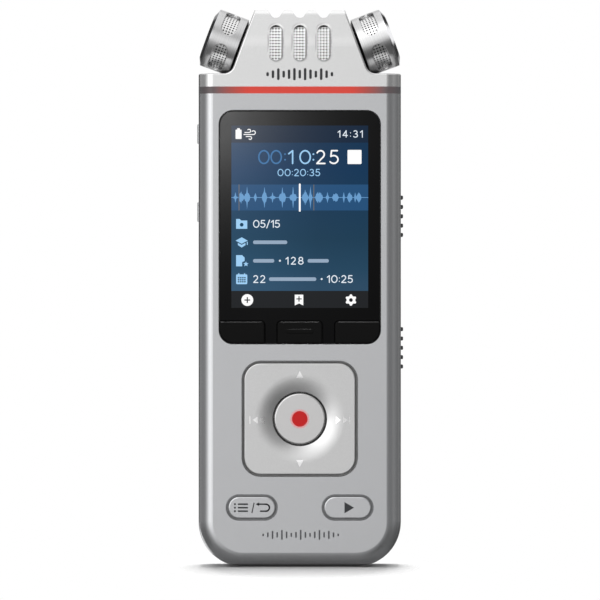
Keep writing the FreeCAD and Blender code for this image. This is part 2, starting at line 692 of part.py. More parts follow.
def volume_key(z):
    """Key on the left edge, with a flange behind the wall."""
    outer = -HALF_WIDTH - VOLUME_KEY_PROUD
    cap = box(outer, -INNER_SIDE + 0.4, SIDE_Y - VOLUME_KEY_DEPTH / 2, SIDE_Y + VOLUME_KEY_DEPTH / 2,
              z - VOLUME_KEY_HEIGHT / 2, z + VOLUME_KEY_HEIGHT / 2)
    rims = [e for e in cap.Edges if e.BoundBox.XMax < outer + 1e-3]
    cap = cap.makeFillet(0.25, rims)
    flange = box(-INNER_SIDE + 0.1, -INNER_SIDE + 0.7, SIDE_Y - 1.7, SIDE_Y + 1.7,
                 z - VOLUME_KEY_HEIGHT / 2 - 0.8, z + VOLUME_KEY_HEIGHT / 2 + 0.8)
    return cap.fuse(flange).removeSplitter()


def slide_knob(z):
    """Ribbed knob on the right edge, with a flange behind the wall and a tab in its switch."""
    length = slider_length()
    base = box(INNER_SIDE - 0.4, HALF_WIDTH - 0.15, SIDE_Y - 1.5, SIDE_Y + 1.5,
               z - length / 2, z + length / 2)
    flange = box(INNER_SIDE - 0.8, INNER_SIDE - 0.15, SIDE_Y - 1.95, SIDE_Y + 1.95,
                 z - length / 2 - 2.6, z + length / 2 + 2.6)
    tab = box(19.0, INNER_SIDE - 0.4, SIDE_Y - 0.35, SIDE_Y + 0.35, z - 0.8, z + 0.8)
    ribs = []
    for i in range(-2, 3):
        rib = box(HALF_WIDTH - 0.5, HALF_WIDTH + RIB_PROUD, SIDE_Y - 1.5, SIDE_Y + 1.5,
                  z + i * RIB_PITCH - RIB_WIDTH / 2, z + i * RIB_PITCH + RIB_WIDTH / 2)
        tips = [e for e in rib.Edges if e.BoundBox.XMin > HALF_WIDTH + RIB_PROUD - 1e-3]
        ribs.append(rib.makeFillet(0.25, tips))
    return base.fuse([flange, tab] + ribs).removeSplitter()


# ---- display ------------------------------------------------------------------------------------


def display_window():
    """Lens with three notches for the keys."""
    lens = slab(window_corners(), FRONT_Y, FRONT_Y + WINDOW_THICKNESS)
    for name in KEY_ROW_SPANS:
        corners = key_row_corners(name, EDGE_GAP)
        grown = [(x * 1.001 + (1 if x > 17 else -1 if x < -17 else 0), z, r) for x, z, r in corners]
        lens = lens.cut(slab(grown, FRONT_Y - 1, FRONT_Y + WINDOW_THICKNESS + 1))
    return lens.makeChamfer(0.1, edges_at_y(lens, FRONT_Y))


def display_layer(y0, y1):
    """One layer of the display module between two depths."""
    middle, height = (LCD_BOTTOM + LCD_TOP) / 2, LCD_TOP - LCD_BOTTOM
    return slab(rectangle(0, middle, LCD_WIDTH, height, 0.4), y0, y1)


def lcd_flex():
    """Ribbon from the display glass to the board."""
    rise = box(-6, 6, -6.3, -6.15, LCD_TOP, 102.6)
    return rise.fuse(box(-6, 6, -6.3, BOARD_FRONT, 102.45, 102.6)).removeSplitter()


# ---- electronics --------------------------------------------------------------------------------


def main_board():
    """Circuit board with a tongue for the socket at the foot and one for the light at the top."""
    corners = [(-11, 2.4, 0.8), (11, 2.4, 0.8), (11, 10.4, 0.8), (20.3, 10.4, 1.0), (20.3, 100.5, 1.0),
               (12, 100.5, 0.8), (12, 103.5, 0.8), (-12, 103.5, 0.8), (-12, 100.5, 0.8),
               (-20.3, 100.5, 1.0), (-20.3, 10.4, 1.0), (-11, 10.4, 0.8)]
    board = slab(corners, BOARD_FRONT, BOARD_BACK)
    return board.cut([rod(0.75, -5, -3, x, z) for x, z in board_screw_places()])


def board_chips():
    """Processor, memory, power and radio parts on the back of the board."""
    places = [(0, 88, 9, 9, 1.0), (-3, 74, 12, 8, 1.2), (9.5, 76, 5, 5, 0.9), (3, 62, 6, 6, 0.9),
              (2, 52, 4, 5, 0.9), (-7.5, 40, 5, 4, 1.0)]
    return [box(x - w / 2, x + w / 2, BOARD_BACK, BOARD_BACK + t, z - h / 2, z + h / 2)
            for x, z, w, h, t in places]


def dome_switches():
    """Snap domes on the board, one under each key and four under the pad."""
    row_z = (WINDOW_BOTTOM + KEY_ROW_TOP) / 2
    places = [((left + right) / 2, row_z) for left, right in KEY_ROW_SPANS.values()]
    places += [(sign * LOWER_KEY_X, LOWER_KEY_Z) for sign in (1, -1)]
    places += [(0, PAD_Z), (10.3, PAD_Z), (-10.3, PAD_Z), (0, PAD_Z + 10.3), (0, PAD_Z - 10.3)]
    domes = []
    for x, z in places:
        profile = outline([(0, BOARD_FRONT - DOME_HEIGHT, 0), (1.2, BOARD_FRONT - DOME_HEIGHT, 0.4),
                           (2.2, BOARD_FRONT, 0), (0, BOARD_FRONT, 0)], plan)
        domes.append(profile.revolve(V(0, 0, 0), V(0, 1, 0), 360).translated(V(x, 0, z)))
    return domes


def side_key_switches():
    """Push switches behind the two keys on the left edge."""
    switches = []
    for z in (VOLUME_UP_Z, VOLUME_DOWN_Z):
        body = box(-19.6, -17.4, BOARD_BACK, -0.2, z - 1.8, z + 1.8)
        nub = box(-19.9, -19.6, SIDE_Y - 0.7, SIDE_Y + 0.7, z - 0.9, z + 0.9)
        switches.append(body.fuse(nub).removeSplitter())
    return switches


def slide_switches():
    """Slide switches behind the two knobs on the right edge."""
    switches = []
    for z in (HOLD_SLIDER_Z, MODE_SLIDER_Z):
        body = box(17.3, 19.9, BOARD_BACK, -0.2, z - 4.4, z + 4.4)
        channel = box(18.6, 20.5, SIDE_Y - 0.6, SIDE_Y + 0.6, z - 3.2, z + 3.2)
        switches.append(body.cut(channel))
    return switches


def jack(z):
    """3.5 mm socket with a round nose that passes through the left wall."""
    body = box(-20.2, -8.2, BOARD_BACK + CLEARANCE, 1.5, z - 3.0, z + 3.0)
    nose = Part.makeCylinder(2.4, 2.4, V(-22.4, JACK_Y, z), V(1, 0, 0))
    bore = Part.makeCylinder(JACK_BORE, 12.8, V(-22.4, JACK_Y, z), V(1, 0, 0))
    return body.fuse(nose).cut(bore).removeSplitter()


def usb_socket():
    """Micro USB socket: thin shell with a tongue, opening through the foot."""
    back, y0, y1 = 5.6, BOARD_BACK + CLEARANCE, -0.75
    shell = slab(rectangle(0, (0.3 + back) / 2, 7.5, back - 0.3), y0, y1)
    room = box(-3.45, 3.45, y0 + 0.3, y1 - 0.3, 0, back - 0.8)
    tongue = box(-1.8, 1.8, y0 + 1.0, y0 + 1.55, 1.1, back - 0.5)
    return shell.cut(room).fuse(tongue).removeSplitter()


def card_socket():
    """Card reader on the back of the board, opening through the right wall."""
    body = box(6.0, 20.6, BOARD_BACK, -1.7, CARD_Z - 7, CARD_Z + 7)
    return body.cut(box(7.0, 21, -2.85, -1.95, CARD_Z - 5.7, CARD_Z + 5.7))


def mic_bracket():
    """Plate that carries the centre microphone and is clamped between the screw posts."""
    right = [(17.6, 101.9, 0.8), (17.6, 106.6, 0.8), (9.6, 108.2, 0.8), (8.4, 119.6, 0.8)]
    corners = right + [(-x, z, radius) for x, z, radius in reversed(right)]
    plate = slab(corners, 0, 1.2)
    holes = [rod(1.1, -1, 2, x, z) for x, z in screw_places()]
    holes += [rod(0.75, -1, 2, sign * 6.5, 112.0) for sign in (1, -1)]
    return plate.cut(holes)


def battery():
    """Flat rechargeable cell behind the board."""
    cell = slab(rectangle(0, 71.5, 34, 52, 1.5), BATTERY_FRONT, BATTERY_BACK)
    return cell.makeFillet(0.9, edges_at_y(cell, BATTERY_FRONT) + edges_at_y(cell, BATTERY_BACK))


def speaker():
    """Round speaker with a raised magnet on its front side."""
    magnet = rod(5.0, 1.2, 3.6, 0, SPEAKER_Z)
    return ring(SPEAKER_RADIUS, 8.0, 3.6, 6.5, 0, SPEAKER_Z).fuse(
        [rod(8.2, 3.6, 5.4, 0, SPEAKER_Z), magnet]).removeSplitter()


def screw(x, z, seat_y, head_radius, head_height, shank_radius, length):
    """Pan-head screw with a cross recess, driven from the back towards the front."""
    head = rod(head_radius, seat_y, seat_y + head_height, x, z)
    head = head.makeFillet(head_height * 0.35, edges_at_y(head, seat_y + head_height))
    arm, top = head_radius * 1.1, seat_y + head_height
    recess = [box(x - arm / 2, x + arm / 2, top - 0.5, top + 1, z - 0.18, z + 0.18),
              box(x - 0.18, x + 0.18, top - 0.5, top + 1, z - arm / 2, z + arm / 2)]
    return head.cut(recess).fuse(rod(shank_radius, seat_y - length, seat_y, x, z)).removeSplitter()


def case_screws():
    """Four screws through the rear cover and the bracket into the front posts."""
    return [screw(x, z, 3.5, 1.75, 1.2, SCREW_BORE - CLEARANCE, 8.0) for x, z in screw_places()]


def board_screws():
    """Four small screws that hold the board on its posts."""
    return [screw(x, z, BOARD_BACK, 1.2, 0.7, 0.6, 2.6) for x, z in board_screw_places()]


def bracket_screws():
    """Two screws that hold the bracket in the head, driven from the front."""
    screws = []
    for sign in (1, -1):
        turned_round = screw(sign * 6.5, 112.0, 0, 1.3, 0.7, 0.6, 4.5)
        screws.append(turned_round.rotated(V(sign * 6.5, 0, 112.0), V(0, 0, 1), 180))
    return screws


def tripod_insert():
    """Brass insert with a tapped tripod hole."""
    body = rod(INSERT_RADIUS, 3.6, REAR_Y - 0.1, 0, TRIPOD_Z)
    body = body.makeChamfer(0.3, edges_at_y(body, REAR_Y - 0.1))
    return body.cut(rod(TRIPOD_BORE, 4.2, REAR_Y + 1, 0, TRIPOD_Z))


def ring_leds():
    """Two light-emitting parts under the light guide."""
    return [box(x - 0.9, x + 0.9, BOARD_FRONT - 0.8, BOARD_FRONT, 102.6, 103.4) for x in (-9.2, 9.2)]


def battery_leads():
    """Two wires from the battery to the board."""
    return [wire_lead([V(x, 4.3, 45.5), V(x, 4.3, 42.5), V(x, -0.5, 41.5), V(x, BOARD_BACK, 41.5)], 0.4)
            for x in (8.6, 9.8)]


def speaker_leads():
    """Two wires from the speaker to the board."""
    start, end = SPEAKER_Z - 6.8, SPEAKER_Z - 9.3
    return [wire_lead([V(x, 3.6, start), V(x, 1.4, start), V(x, -0.8, end), V(x, BOARD_BACK, end)], 0.4)
            for x in (-0.7, 0.7)]


def mic_leads():
    """Screened leads from the two drums to the board."""
    start, inward = drum_axis()
    lead_start = start + inward * (DRUM_LENGTH + 0.2)
    lead_turn = start + inward * (DRUM_LENGTH + 3.6)
    lead = wire_lead([lead_start, lead_turn, V(lead_turn.x + 0.4, -1.2, 104.5), V(9.0, -1.2, 98.0),
                      V(9.0, BOARD_BACK, 98.0)], 0.45)
    return both_sides(lead)


# ---- assembly -----------------------------------------------------------------------------------


def build():
    """Every node of the recorder by name."""
    front_shell, rear_shell = shell_halves()
    nodes = {
        "front_cover": front_cover(front_shell),
        "rear_cover": rear_cover(rear_shell),
        "light_ring": light_ring(),
        "mic_head": mic_head(),
        "centre_mic_mesh": centre_mic_mesh(),
        "centre_mic_capsule": rod(4.0, -6.0, -2.0, 0, 116.2),
        "centre_mic_boot": rod(5.0, -5.4, 0, 0, 116.2).cut(rod(4.0, -6, -2.0, 0, 116.2)),
        "display_window": display_window(),
        "lcd_panel": display_layer(LCD_FRONT, LCD_BACK),
        "lcd_backlight": display_layer(LCD_BACK, BOARD_FRONT),
        "lcd_flex": lcd_flex(),
        "navigation_pad": navigation_pad(),
        "pad_gimbal": pad_gimbal(),
        "record_button": record_button(),
        "record_mark": record_mark(),
        "menu_key": lower_key(-1),
        "play_key": lower_key(1),
        "volume_up_key": volume_key(VOLUME_UP_Z),
        "volume_down_key": volume_key(VOLUME_DOWN_Z),
        "hold_slider": slide_knob(HOLD_SLIDER_Z),
        "mode_slider": slide_knob(MODE_SLIDER_Z),
        "main_board": main_board(),
        "board_chips": board_chips(),
        "dome_switches": dome_switches(),
        "side_key_switches": side_key_switches(),
        "slide_switches": slide_switches(),
        "ring_leds": ring_leds(),
        "headphone_jack": jack(HEADPHONE_Z),
        "microphone_jack": jack(MICROPHONE_Z),
        "usb_socket": usb_socket(),
        "card_socket": card_socket(),
        "mic_bracket": mic_bracket(),
        "bracket_screws": bracket_screws(),
        "battery": battery(),
        "battery_leads": battery_leads(),
        "speaker": speaker(),
        "speaker_gasket": ring(SPEAKER_RADIUS, 8.0, 6.5, INNER_REAR, 0, SPEAKER_Z),
        "speaker_leads": speaker_leads(),
        "mic_leads": mic_leads(),
        "case_screws": case_screws(),
        "board_screws": board_screws(),
        "tripod_insert": tripod_insert(),
    }
    for name in KEY_ROW_SPANS:
        nodes["function_key_" + name] = function_key(name)
    drum_pieces = {
        "drum_barrel": drum_barrel(),
        "drum_cap": drum_cap(),
        "drum_mesh": tube_on_drum_axis(DRUM_BORE - CLEARANCE, 5.8, 1.6, 6.95),
        "mic_boot": tube_on_drum_axis(5.7, 4.9, 2.4, 5.8),
        "mic_capsule": tube_on_drum_axis(4.85, 0, 1.9, 6.4),
    }
    for name, piece in drum_pieces.items():
        nodes[name + "_right"], nodes[name + "_left"] = both_sides(piece)
    return nodes


os.makedirs("parts", exist_ok=True)
for node, shape in build().items():
    solid = Part.makeCompound(shape) if isinstance(shape, list) else shape
    solid.exportStep("parts/" + node + ".step")
    print(node, len(solid.Solids), solid.isValid(), round(solid.Volume, 1))
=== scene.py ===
"""Looks of a handheld voice recorder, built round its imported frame. Metres, +Z up, front towards -Y."""

import json
import math
import random

import bmesh
import bpy
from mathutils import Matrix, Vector
from mathutils.bvhtree import BVHTree

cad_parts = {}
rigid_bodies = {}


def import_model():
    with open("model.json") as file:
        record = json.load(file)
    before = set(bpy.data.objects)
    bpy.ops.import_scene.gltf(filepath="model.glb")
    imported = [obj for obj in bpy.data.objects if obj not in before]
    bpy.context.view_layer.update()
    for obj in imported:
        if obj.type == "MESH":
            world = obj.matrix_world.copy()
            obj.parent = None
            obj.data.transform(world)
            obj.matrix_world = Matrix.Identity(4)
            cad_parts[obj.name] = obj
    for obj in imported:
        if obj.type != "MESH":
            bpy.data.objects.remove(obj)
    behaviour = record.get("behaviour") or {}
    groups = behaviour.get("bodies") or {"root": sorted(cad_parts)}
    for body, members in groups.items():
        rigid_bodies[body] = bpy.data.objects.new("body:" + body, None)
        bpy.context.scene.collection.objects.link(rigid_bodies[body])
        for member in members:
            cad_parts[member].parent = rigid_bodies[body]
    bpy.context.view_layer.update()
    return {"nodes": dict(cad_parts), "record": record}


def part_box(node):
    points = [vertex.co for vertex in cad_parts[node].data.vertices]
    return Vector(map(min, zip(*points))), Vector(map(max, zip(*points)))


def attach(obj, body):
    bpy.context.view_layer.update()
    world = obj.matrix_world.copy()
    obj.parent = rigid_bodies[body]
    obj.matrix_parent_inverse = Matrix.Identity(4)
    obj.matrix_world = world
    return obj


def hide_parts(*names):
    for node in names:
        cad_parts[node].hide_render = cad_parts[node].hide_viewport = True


MM = 0.001
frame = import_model()
nodes = frame["nodes"]

BODY = "recorder"

# Sizes in millimetres, taken from the frame where they can be, and from the recorder's design where not
WINDOW_LOW, WINDOW_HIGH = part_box("display_window")
FRONT = WINDOW_LOW.y / MM
BODY_WIDTH = (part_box("rear_cover")[1].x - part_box("rear_cover")[0].x) / MM
DRUM_TILT = 20.6
DRUM_LENGTH = 8.1
DRUM_CAP_LENGTH = 1.0
DRUM_CHAMFER = 0.7
MESH_START = 1.6
MESH_LENGTH = 5.35
SCREEN_HALF_WIDTH = 15.3
SCREEN_HEIGHT = 40.8
WINDOW_TOP_BORDER = 3.24
SCREEN_HIGH = WINDOW_HIGH.z / MM - WINDOW_TOP_BORDER
SCREEN_LOW = SCREEN_HIGH - SCREEN_HEIGHT
# Thickness of one layer of print
LAYER = 0.012
# Marks on curved faces: how far they stand out and how finely they follow the face
MARK_LIFT = 0.03
MARK_DETAIL = 0.25


# ---- places on the recorder ---------------------------------------------------------------------


def centre_of(node):
    """Middle of a node's box as seen from the front, in millimetres."""
    low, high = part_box(node)
    return (low.x + high.x) / 2 / MM, (low.z + high.z) / 2 / MM


def face_tree(node):
    """A node's faces, for finding where a line meets them."""
    return BVHTree.FromObject(nodes[node], bpy.context.evaluated_depsgraph_get())


def depth_at(tree, x, z):
    """Y in metres where a line towards +Y through (x, z) first meets the faces."""
    ahead_of_all = -0.05
    hit, _, _, _ = tree.ray_cast(Vector((x, ahead_of_all, z)), Vector((0, 1, 0)))
    return hit.y


def drum_axis(side):
    """Centre of a drum's outer face and its inward direction, from its cap's box."""
    low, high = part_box("drum_cap_" + side)
    tilt = math.radians(DRUM_TILT)
    sign = -1 if side == "right" else 1
    direction = Vector((sign * math.cos(tilt), 0, -math.sin(tilt)))
    return (low + high) / 2 - direction * (DRUM_CAP_LENGTH / 2) * MM, direction


# ---- colours and material nodes -----------------------------------------------------------------


def srgb(red, green, blue):
    """Colour given as 0 to 255 display values, as the linear RGBA that shaders take."""
    channels = [c / 255 for c in (red, green, blue)]
    return [c / 12.92 if c <= 0.04045 else ((c + 0.055) / 1.055) ** 2.4 for c in channels] + [1.0]


def shade(colour, factor):
    """A colour made lighter or darker."""
    return [min(1.0, c * factor) for c in colour[:3]] + [1.0]


def put(tree, value, socket):
    """Sets a socket to a value, or links an output to it."""
    if isinstance(value, bpy.types.NodeSocket):
        tree.links.new(value, socket)
    else:
        socket.default_value = value


def add_node(tree, kind, operation=None, **inputs):
    """New node; each input is a value or another node's output, and i0, i1 ... are inputs by number."""
    node = tree.nodes.new(kind)
    if operation:
        node.operation = operation
    for name, value in inputs.items():
        numbered = name[0] == "i" and name[1:].isdigit()
        put(tree, value, node.inputs[int(name[1:]) if numbered else name.replace("_", " ")])
    return node


def add_ramp(tree, value, stops):
    """Colour ramp over (position, colour) stops."""
    node = add_node(tree, "ShaderNodeValToRGB", Fac=value)
    band = node.color_ramp
    while len(band.elements) < len(stops):
        band.elements.new(0.5)
    for element, (position, colour) in zip(band.elements, stops):
        element.position = position
        element.color = colour
    return node.outputs["Color"]


class Surface:
    """A material under construction: its node tree and its Principled shader."""

    def __init__(self, name, colour, metallic=0.0, roughness=0.5, **sockets):
        self.material = bpy.data.materials.new(name)
        self.material.use_nodes = True
        self.tree = self.material.node_tree
        self.shader = self.tree.nodes["Principled BSDF"]
        self.shader.inputs["Base Color"].default_value = colour
        self.shader.inputs["Metallic"].default_value = metallic
        self.shader.inputs["Roughness"].default_value = roughness
        for socket, value in sockets.items():
            self.shader.inputs[socket.replace("_", " ")].default_value = value

    def add(self, kind, operation=None, **inputs):
        """New node in this material."""
        return add_node(self.tree, kind, operation, **inputs)

    def to(self, value, socket):
        """Sends a value or output to one of the shader's sockets."""
        put(self.tree, value, self.shader.inputs[socket])

    def place(self):
        """Position in the piece's own space."""
        return self.add("ShaderNodeTexCoord").outputs["Object"]

    def maths(self, operation, first, second=0.0):
        """One arithmetic step."""
        return self.add("ShaderNodeMath", operation, i0=first, i1=second).outputs[0]

    def noise(self, scale, detail=2.0):
        """Noise value from 0 to 1."""
        return self.add("ShaderNodeTexNoise", Vector=self.place(), Scale=scale, Detail=detail).outputs["Fac"]

    def ramp(self, value, stops):
        """Colour ramp over (position, colour) stops."""
        return add_ramp(self.tree, value, stops)

    def painted_gap_shade(self, colour, depth):
        """Painted shade: a colour darkened, down to depth, where narrow gaps close in on the surface."""
        shelter = self.add("ShaderNodeAmbientOcclusion", Distance=GAP_SHADE_REACH * MM)
        shelter.samples = 8
        closed, clear = GAP_SHADE_RANGE
        opening = self.add("ShaderNodeMapRange", Value=shelter.outputs["AO"], From_Min=closed, From_Max=clear,
                           To_Min=depth)
        product = self.add("ShaderNodeVectorMath", "MULTIPLY", i0=colour, i1=opening.outputs["Result"])
        return product.outputs[0]

    def vary(self, low, high, value, socket):
        """Sends a value mapped from 0..1 to low..high to a shader socket."""
        node = self.add("ShaderNodeMapRange", Value=value, To_Min=low, To_Max=high)
        self.to(node.outputs["Result"], socket)

    def bump(self, height, distance, strength=1.0):
        """Bump from a height in millimetres."""
        node = self.add("ShaderNodeBump", Height=height, Distance=distance * MM, Strength=strength)
        self.to(node.outputs["Normal"], "Normal")


# How far a gap's shade reaches, and the openness at which it is darkest and gone
GAP_SHADE_REACH = 0.9
GAP_SHADE_RANGE = (0.42, 0.8)


def metallic_paint(name, colour, metallic=0.8, roughness=0.2, depth=0.08):
    """Satin metallic paint with fine flake, slight handling marks and painted shade in narrow gaps."""
    surface = Surface(name, colour, metallic, roughness)
    flake = surface.ramp(surface.noise(9000.0, 1.0), [(0.3, shade(colour, 0.96)), (0.7, shade(colour, 1.04))])
    # Painted shade: the flaked colour is darkened, down to depth, in narrow gaps
    surface.to(surface.painted_gap_shade(flake, depth), "Base Color")
    surface.vary(roughness - 0.02, roughness + 0.03, surface.noise(120.0, 4.0), "Roughness")
    return surface.material


def moulded_plastic(name, colour, roughness=0.5, grain=0.01):
    """Moulded plastic or rubber with a fine spark-eroded grain."""
    surface = Surface(name, colour, 0.0, roughness)
    texture = surface.noise(2500.0, 3.0)
    grains = surface.ramp(texture, [(0.25, shade(colour, 0.85)), (0.75, shade(colour, 1.15))])
    surface.to(grains, "Base Color")
    surface.vary(roughness - 0.06, roughness + 0.06, texture, "Roughness")
    surface.bump(texture, grain)
    return surface.material


def plain_metal(name, colour, roughness=0.3):
    """Sheet or turned metal with fine scratches."""
    surface = Surface(name, colour, 1.0, roughness)
    scratches = surface.noise(3000.0, 4.0)
    surface.vary(roughness - 0.08, roughness + 0.08, scratches, "Roughness")
    surface.bump(scratches, 0.002)
    return surface.material


def along_axis(surface, centre, direction):
    """Distance of a point along an axis, in millimetres."""
    offset = surface.add("ShaderNodeVectorMath", "SUBTRACT", i0=surface.place(), i1=centre)
    dot = surface.add("ShaderNodeVectorMath", "DOT_PRODUCT", i0=offset.outputs[0], i1=direction)
    return surface.maths("MULTIPLY", dot.outputs["Value"], 1 / MM)


# ---- shapes in millimetres ----------------------------------------------------------------------


def rounded(x, z, width, height, radius=0.0, steps=6):
    """Rectangle about (x, z) with round corners."""
    points = []
    for quarter, (sx, sz) in enumerate(((1, 1), (-1, 1), (-1, -1), (1, -1))):
        cx, cz = x + sx * (width / 2 - radius), z + sz * (height / 2 - radius)
        count = steps if radius else 0
        for i in range(count + 1):
            angle = math.pi / 2 * (quarter + (i / steps if radius else 0.5))
            points.append((cx + radius * math.cos(angle), cz + radius * math.sin(angle)))
    return points


def span(left, right, low, high, radius=0.0):
    """Rectangle between two corners with round corners."""
    return rounded((left + right) / 2, (low + high) / 2, right - left, high - low, radius)


def disc(x, z, radius, steps=40):
    """Circle as a polygon."""
    return arc(x, z, radius, 0, 360 * (steps - 1) / steps, steps)


def arc(x, z, radius, start, end, steps=12):
    """Points on an arc between two angles in degrees."""
    return ellipse(x, z, radius, radius, start, end, steps)


def ellipse(x, z, across, up, start=0, end=360, steps=20):
    """Points on an ellipse between two angles in degrees."""
    angles = [math.radians(start + (end - start) * i / (steps - 1)) for i in range(steps)]
    return [(x + across * math.cos(a), z + up * math.sin(a)) for a in angles]


def ribbon(points, width):
    """Outlines that together draw a line of even width with round ends and corners."""
    shapes = [disc(x, z, width / 2, 12) for x, z in points]
    for (x1, z1), (x2, z2) in zip(points, points[1:]):
        size = math.hypot(x2 - x1, z2 - z1)
        nx, nz = (z1 - z2) / size * width / 2, (x2 - x1) / size * width / 2
        shapes.append([(x1 + nx, z1 + nz), (x2 + nx, z2 + nz), (x2 - nx, z2 - nz), (x1 - nx, z1 - nz)])
    return shapes


def plus(x, z, size, width):
    """Upright cross."""
    a, b = width / 2, size / 2
    quarter = [(a, b), (a, a), (b, a)]
    points = quarter + [(u, -v) for u, v in reversed(quarter)]
    points += [(-u, v) for u, v in reversed(points)]
    return [(x + u, z + v) for u, v in points]


def link(piece, material, body):
    """Puts a finished piece in the scene on its body."""
    bpy.context.scene.collection.objects.link(piece)
    piece.data.materials.append(material)
    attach(piece, body)
    return piece


def mesh_piece(name, bm, material, body):
    """Flat-shaded object from a bmesh."""
    bmesh.ops.recalc_face_normals(bm, faces=bm.faces)
    data = bpy.data.meshes.new(name)
    bm.to_mesh(data)
    bm.free()
    return link(bpy.data.objects.new(name, data), material, body)


def add_prism(bm, outline, back, front):
    """Adds a closed prism with a front-view outline between two depths."""
    ends = []
    for y in (front, back):
        vertices = [bm.verts.new((x * MM, y * MM, z * MM)) for x, z in outline]
        ends.append(vertices)
        face = bm.faces.new(vertices)
        face.normal_update()
        bmesh.ops.triangulate(bm, faces=[face])
    for i in range(len(outline)):
        j = (i + 1) % len(outline)
        bm.faces.new((ends[0][i], ends[0][j], ends[1][j], ends[1][i]))


def printed(name, outlines, material, level=1, body=BODY, surface=FRONT):
    """Thin printed or lit shapes, stacked in levels on the surface at that depth."""
    bm = bmesh.new()
    for outline in outlines:
        add_prism(bm, outline, surface - LAYER * (level - 1), surface - LAYER * level)
    return mesh_piece(name, bm, material, body)


# Each figure as lines in a box one unit high: its width, then its lines
FIGURES = {
    "0": (0.80, [ellipse(0.40, 0.5, 0.40, 0.5, steps=28)]),
    "1": (0.32, [[(0.0, 0.76), (0.3, 1.0), (0.3, 0.0)]]),
    "2": (0.64, [ellipse(0.31, 0.71, 0.29, 0.29, 155, -38, 10) + [(0.02, 0.0), (0.64, 0.0)]]),
    "3": (0.62, [ellipse(0.29, 0.75, 0.27, 0.25, 145, -85, 10),
                 ellipse(0.29, 0.26, 0.33, 0.26, 90, -145, 12)]),
    "4": (0.70, [[(0.50, 0.0), (0.50, 1.0), (0.0, 0.27), (0.70, 0.27)]]),
    "5": (0.64, [[(0.57, 1.0), (0.12, 1.0), (0.07, 0.55)] + ellipse(0.29, 0.31, 0.34, 0.31, 120, -145, 12)]),
    "8": (0.66, [ellipse(0.33, 0.75, 0.26, 0.25), ellipse(0.33, 0.26, 0.33, 0.26)]),
    ":": (0.04, [[(0.02, 0.16), (0.02, 0.17)], [(0.02, 0.66), (0.02, 0.67)]]),
    "/": (0.42, [[(0.0, -0.1), (0.42, 1.05)]]),
}


def figures(name, text, left, right, low, high, weight, material, level=2):
    """Numerals fitted to a box on the display, drawn with lines of one weight."""
    low, high = low + weight / 2, high - weight / 2
    left, right = left + weight / 2, right - weight / 2
    height = high - low
    widths = [FIGURES[c][0] for c in text]
    gap = ((right - left) / height - sum(widths)) / (len(text) - 1)
    shapes, x = [], left
    for character, width in zip(text, widths):
        for line in FIGURES[character][1]:
            shapes += ribbon([(x + u * height, low + v * height) for u, v in line], weight)
        x += (width + gap) * height
    return printed(name, shapes, material, level)


# ---- materials ----------------------------------------------------------------------------------

SILVER = srgb(203, 204, 206)
HEAD_SILVER = srgb(232, 232, 232)
PAD_SILVER = srgb(227, 227, 227)
INK = srgb(62, 64, 67)

UNLIT = (0, 0, 0, 1)
LENS_GLOSS = dict(roughness=0.175, Specular_IOR_Level=0.06)
# The screen is this much brighter at its left edge than from this X rightwards
LEFT_EDGE_GAIN = 1.35
GAIN_START_X = 4.0
RING_GLOW = 0.55
# Roughness of the drums' brushed sides and of their polished chamfer
BRUSHED = 0.28
POLISHED = 0.08


def lit(name, colour):
    """Display colour under the lens: lit from behind, with the lens's own gloss on top."""
    return Surface(name, UNLIT, Emission_Color=colour, Emission_Strength=1.0, **LENS_GLOSS).material


def display_background():
    """Blue screen that lightens towards its foot and its left edge."""
    surface = Surface("display_blue", UNLIT, Emission_Strength=1.0, **LENS_GLOSS)
    parts = surface.add("ShaderNodeSeparateXYZ", Vector=surface.place())
    rise = surface.add("ShaderNodeMapRange", Value=parts.outputs["Z"], From_Min=SCREEN_LOW * MM,
                       From_Max=SCREEN_HIGH * MM)
    blue = surface.ramp(rise.outputs["Result"], [(0.0, srgb(46, 76, 100)), (0.13, srgb(42, 73, 98)),
                                                 (0.21, srgb(33, 68, 93)), (0.38, srgb(24, 59, 83)),
                                                 (0.76, srgb(6, 50, 84)), (1.0, srgb(6, 46, 76))])
    surface.to(blue, "Emission Color")
    leftward = surface.add("ShaderNodeMapRange", Value=parts.outputs["X"], From_Min=GAIN_START_X * MM,
                           From_Max=-SCREEN_HALF_WIDTH * MM, To_Min=1.0, To_Max=LEFT_EDGE_GAIN)
    surface.to(leftward.outputs["Result"], "Emission Strength")
    return surface.material


def lens_material():
    """Black printed lens: deep gloss with very faint smudges."""
    surface = Surface("lens_black", srgb(5, 5, 6), **LENS_GLOSS)
    surface.vary(0.16, 0.19, surface.noise(160.0, 3.0), "Roughness")
    return surface.material


def black_key_material():
    """Semi-gloss black keys with a fine grain."""
    surface = Surface("key_black", srgb(6, 6, 6), roughness=0.2, Specular_IOR_Level=0.07)
    surface.vary(0.16, 0.24, surface.noise(3000.0, 2.0), "Roughness")
    return surface.material


def ring_material():
    """Light band: red and lit across the front, fading to grey at its ends, and grey behind."""
    red, grey = srgb(214, 66, 54), srgb(120, 120, 122)
    surface = Surface("light_band", grey, roughness=0.28, Emission_Strength=RING_GLOW)
    parts = surface.add("ShaderNodeSeparateXYZ", Vector=surface.place())
    reach = surface.maths("ABSOLUTE", parts.outputs["X"])
    reach = surface.maths("MULTIPLY", reach, 1 / (0.5 * BODY_WIDTH * MM))
    ahead = surface.maths("LESS_THAN", parts.outputs["Y"], 0.0)
    base = [(0.0, red), (0.52, red), (0.67, srgb(182, 98, 92)), (0.82, srgb(150, 128, 130)), (1.0, grey)]
    glow = [(0.0, red), (0.5, red), (0.85, UNLIT)]
    for socket, behind, stops in (("Base Color", grey, base), ("Emission Color", UNLIT, glow)):
        mix = surface.add("ShaderNodeMix", Factor=ahead)
        mix.data_type = "RGBA"
        put(surface.tree, behind, mix.inputs["A"])
        put(surface.tree, surface.ramp(reach, stops), mix.inputs["B"])
        surface.to(mix.outputs["Result"], socket)
    return surface.material


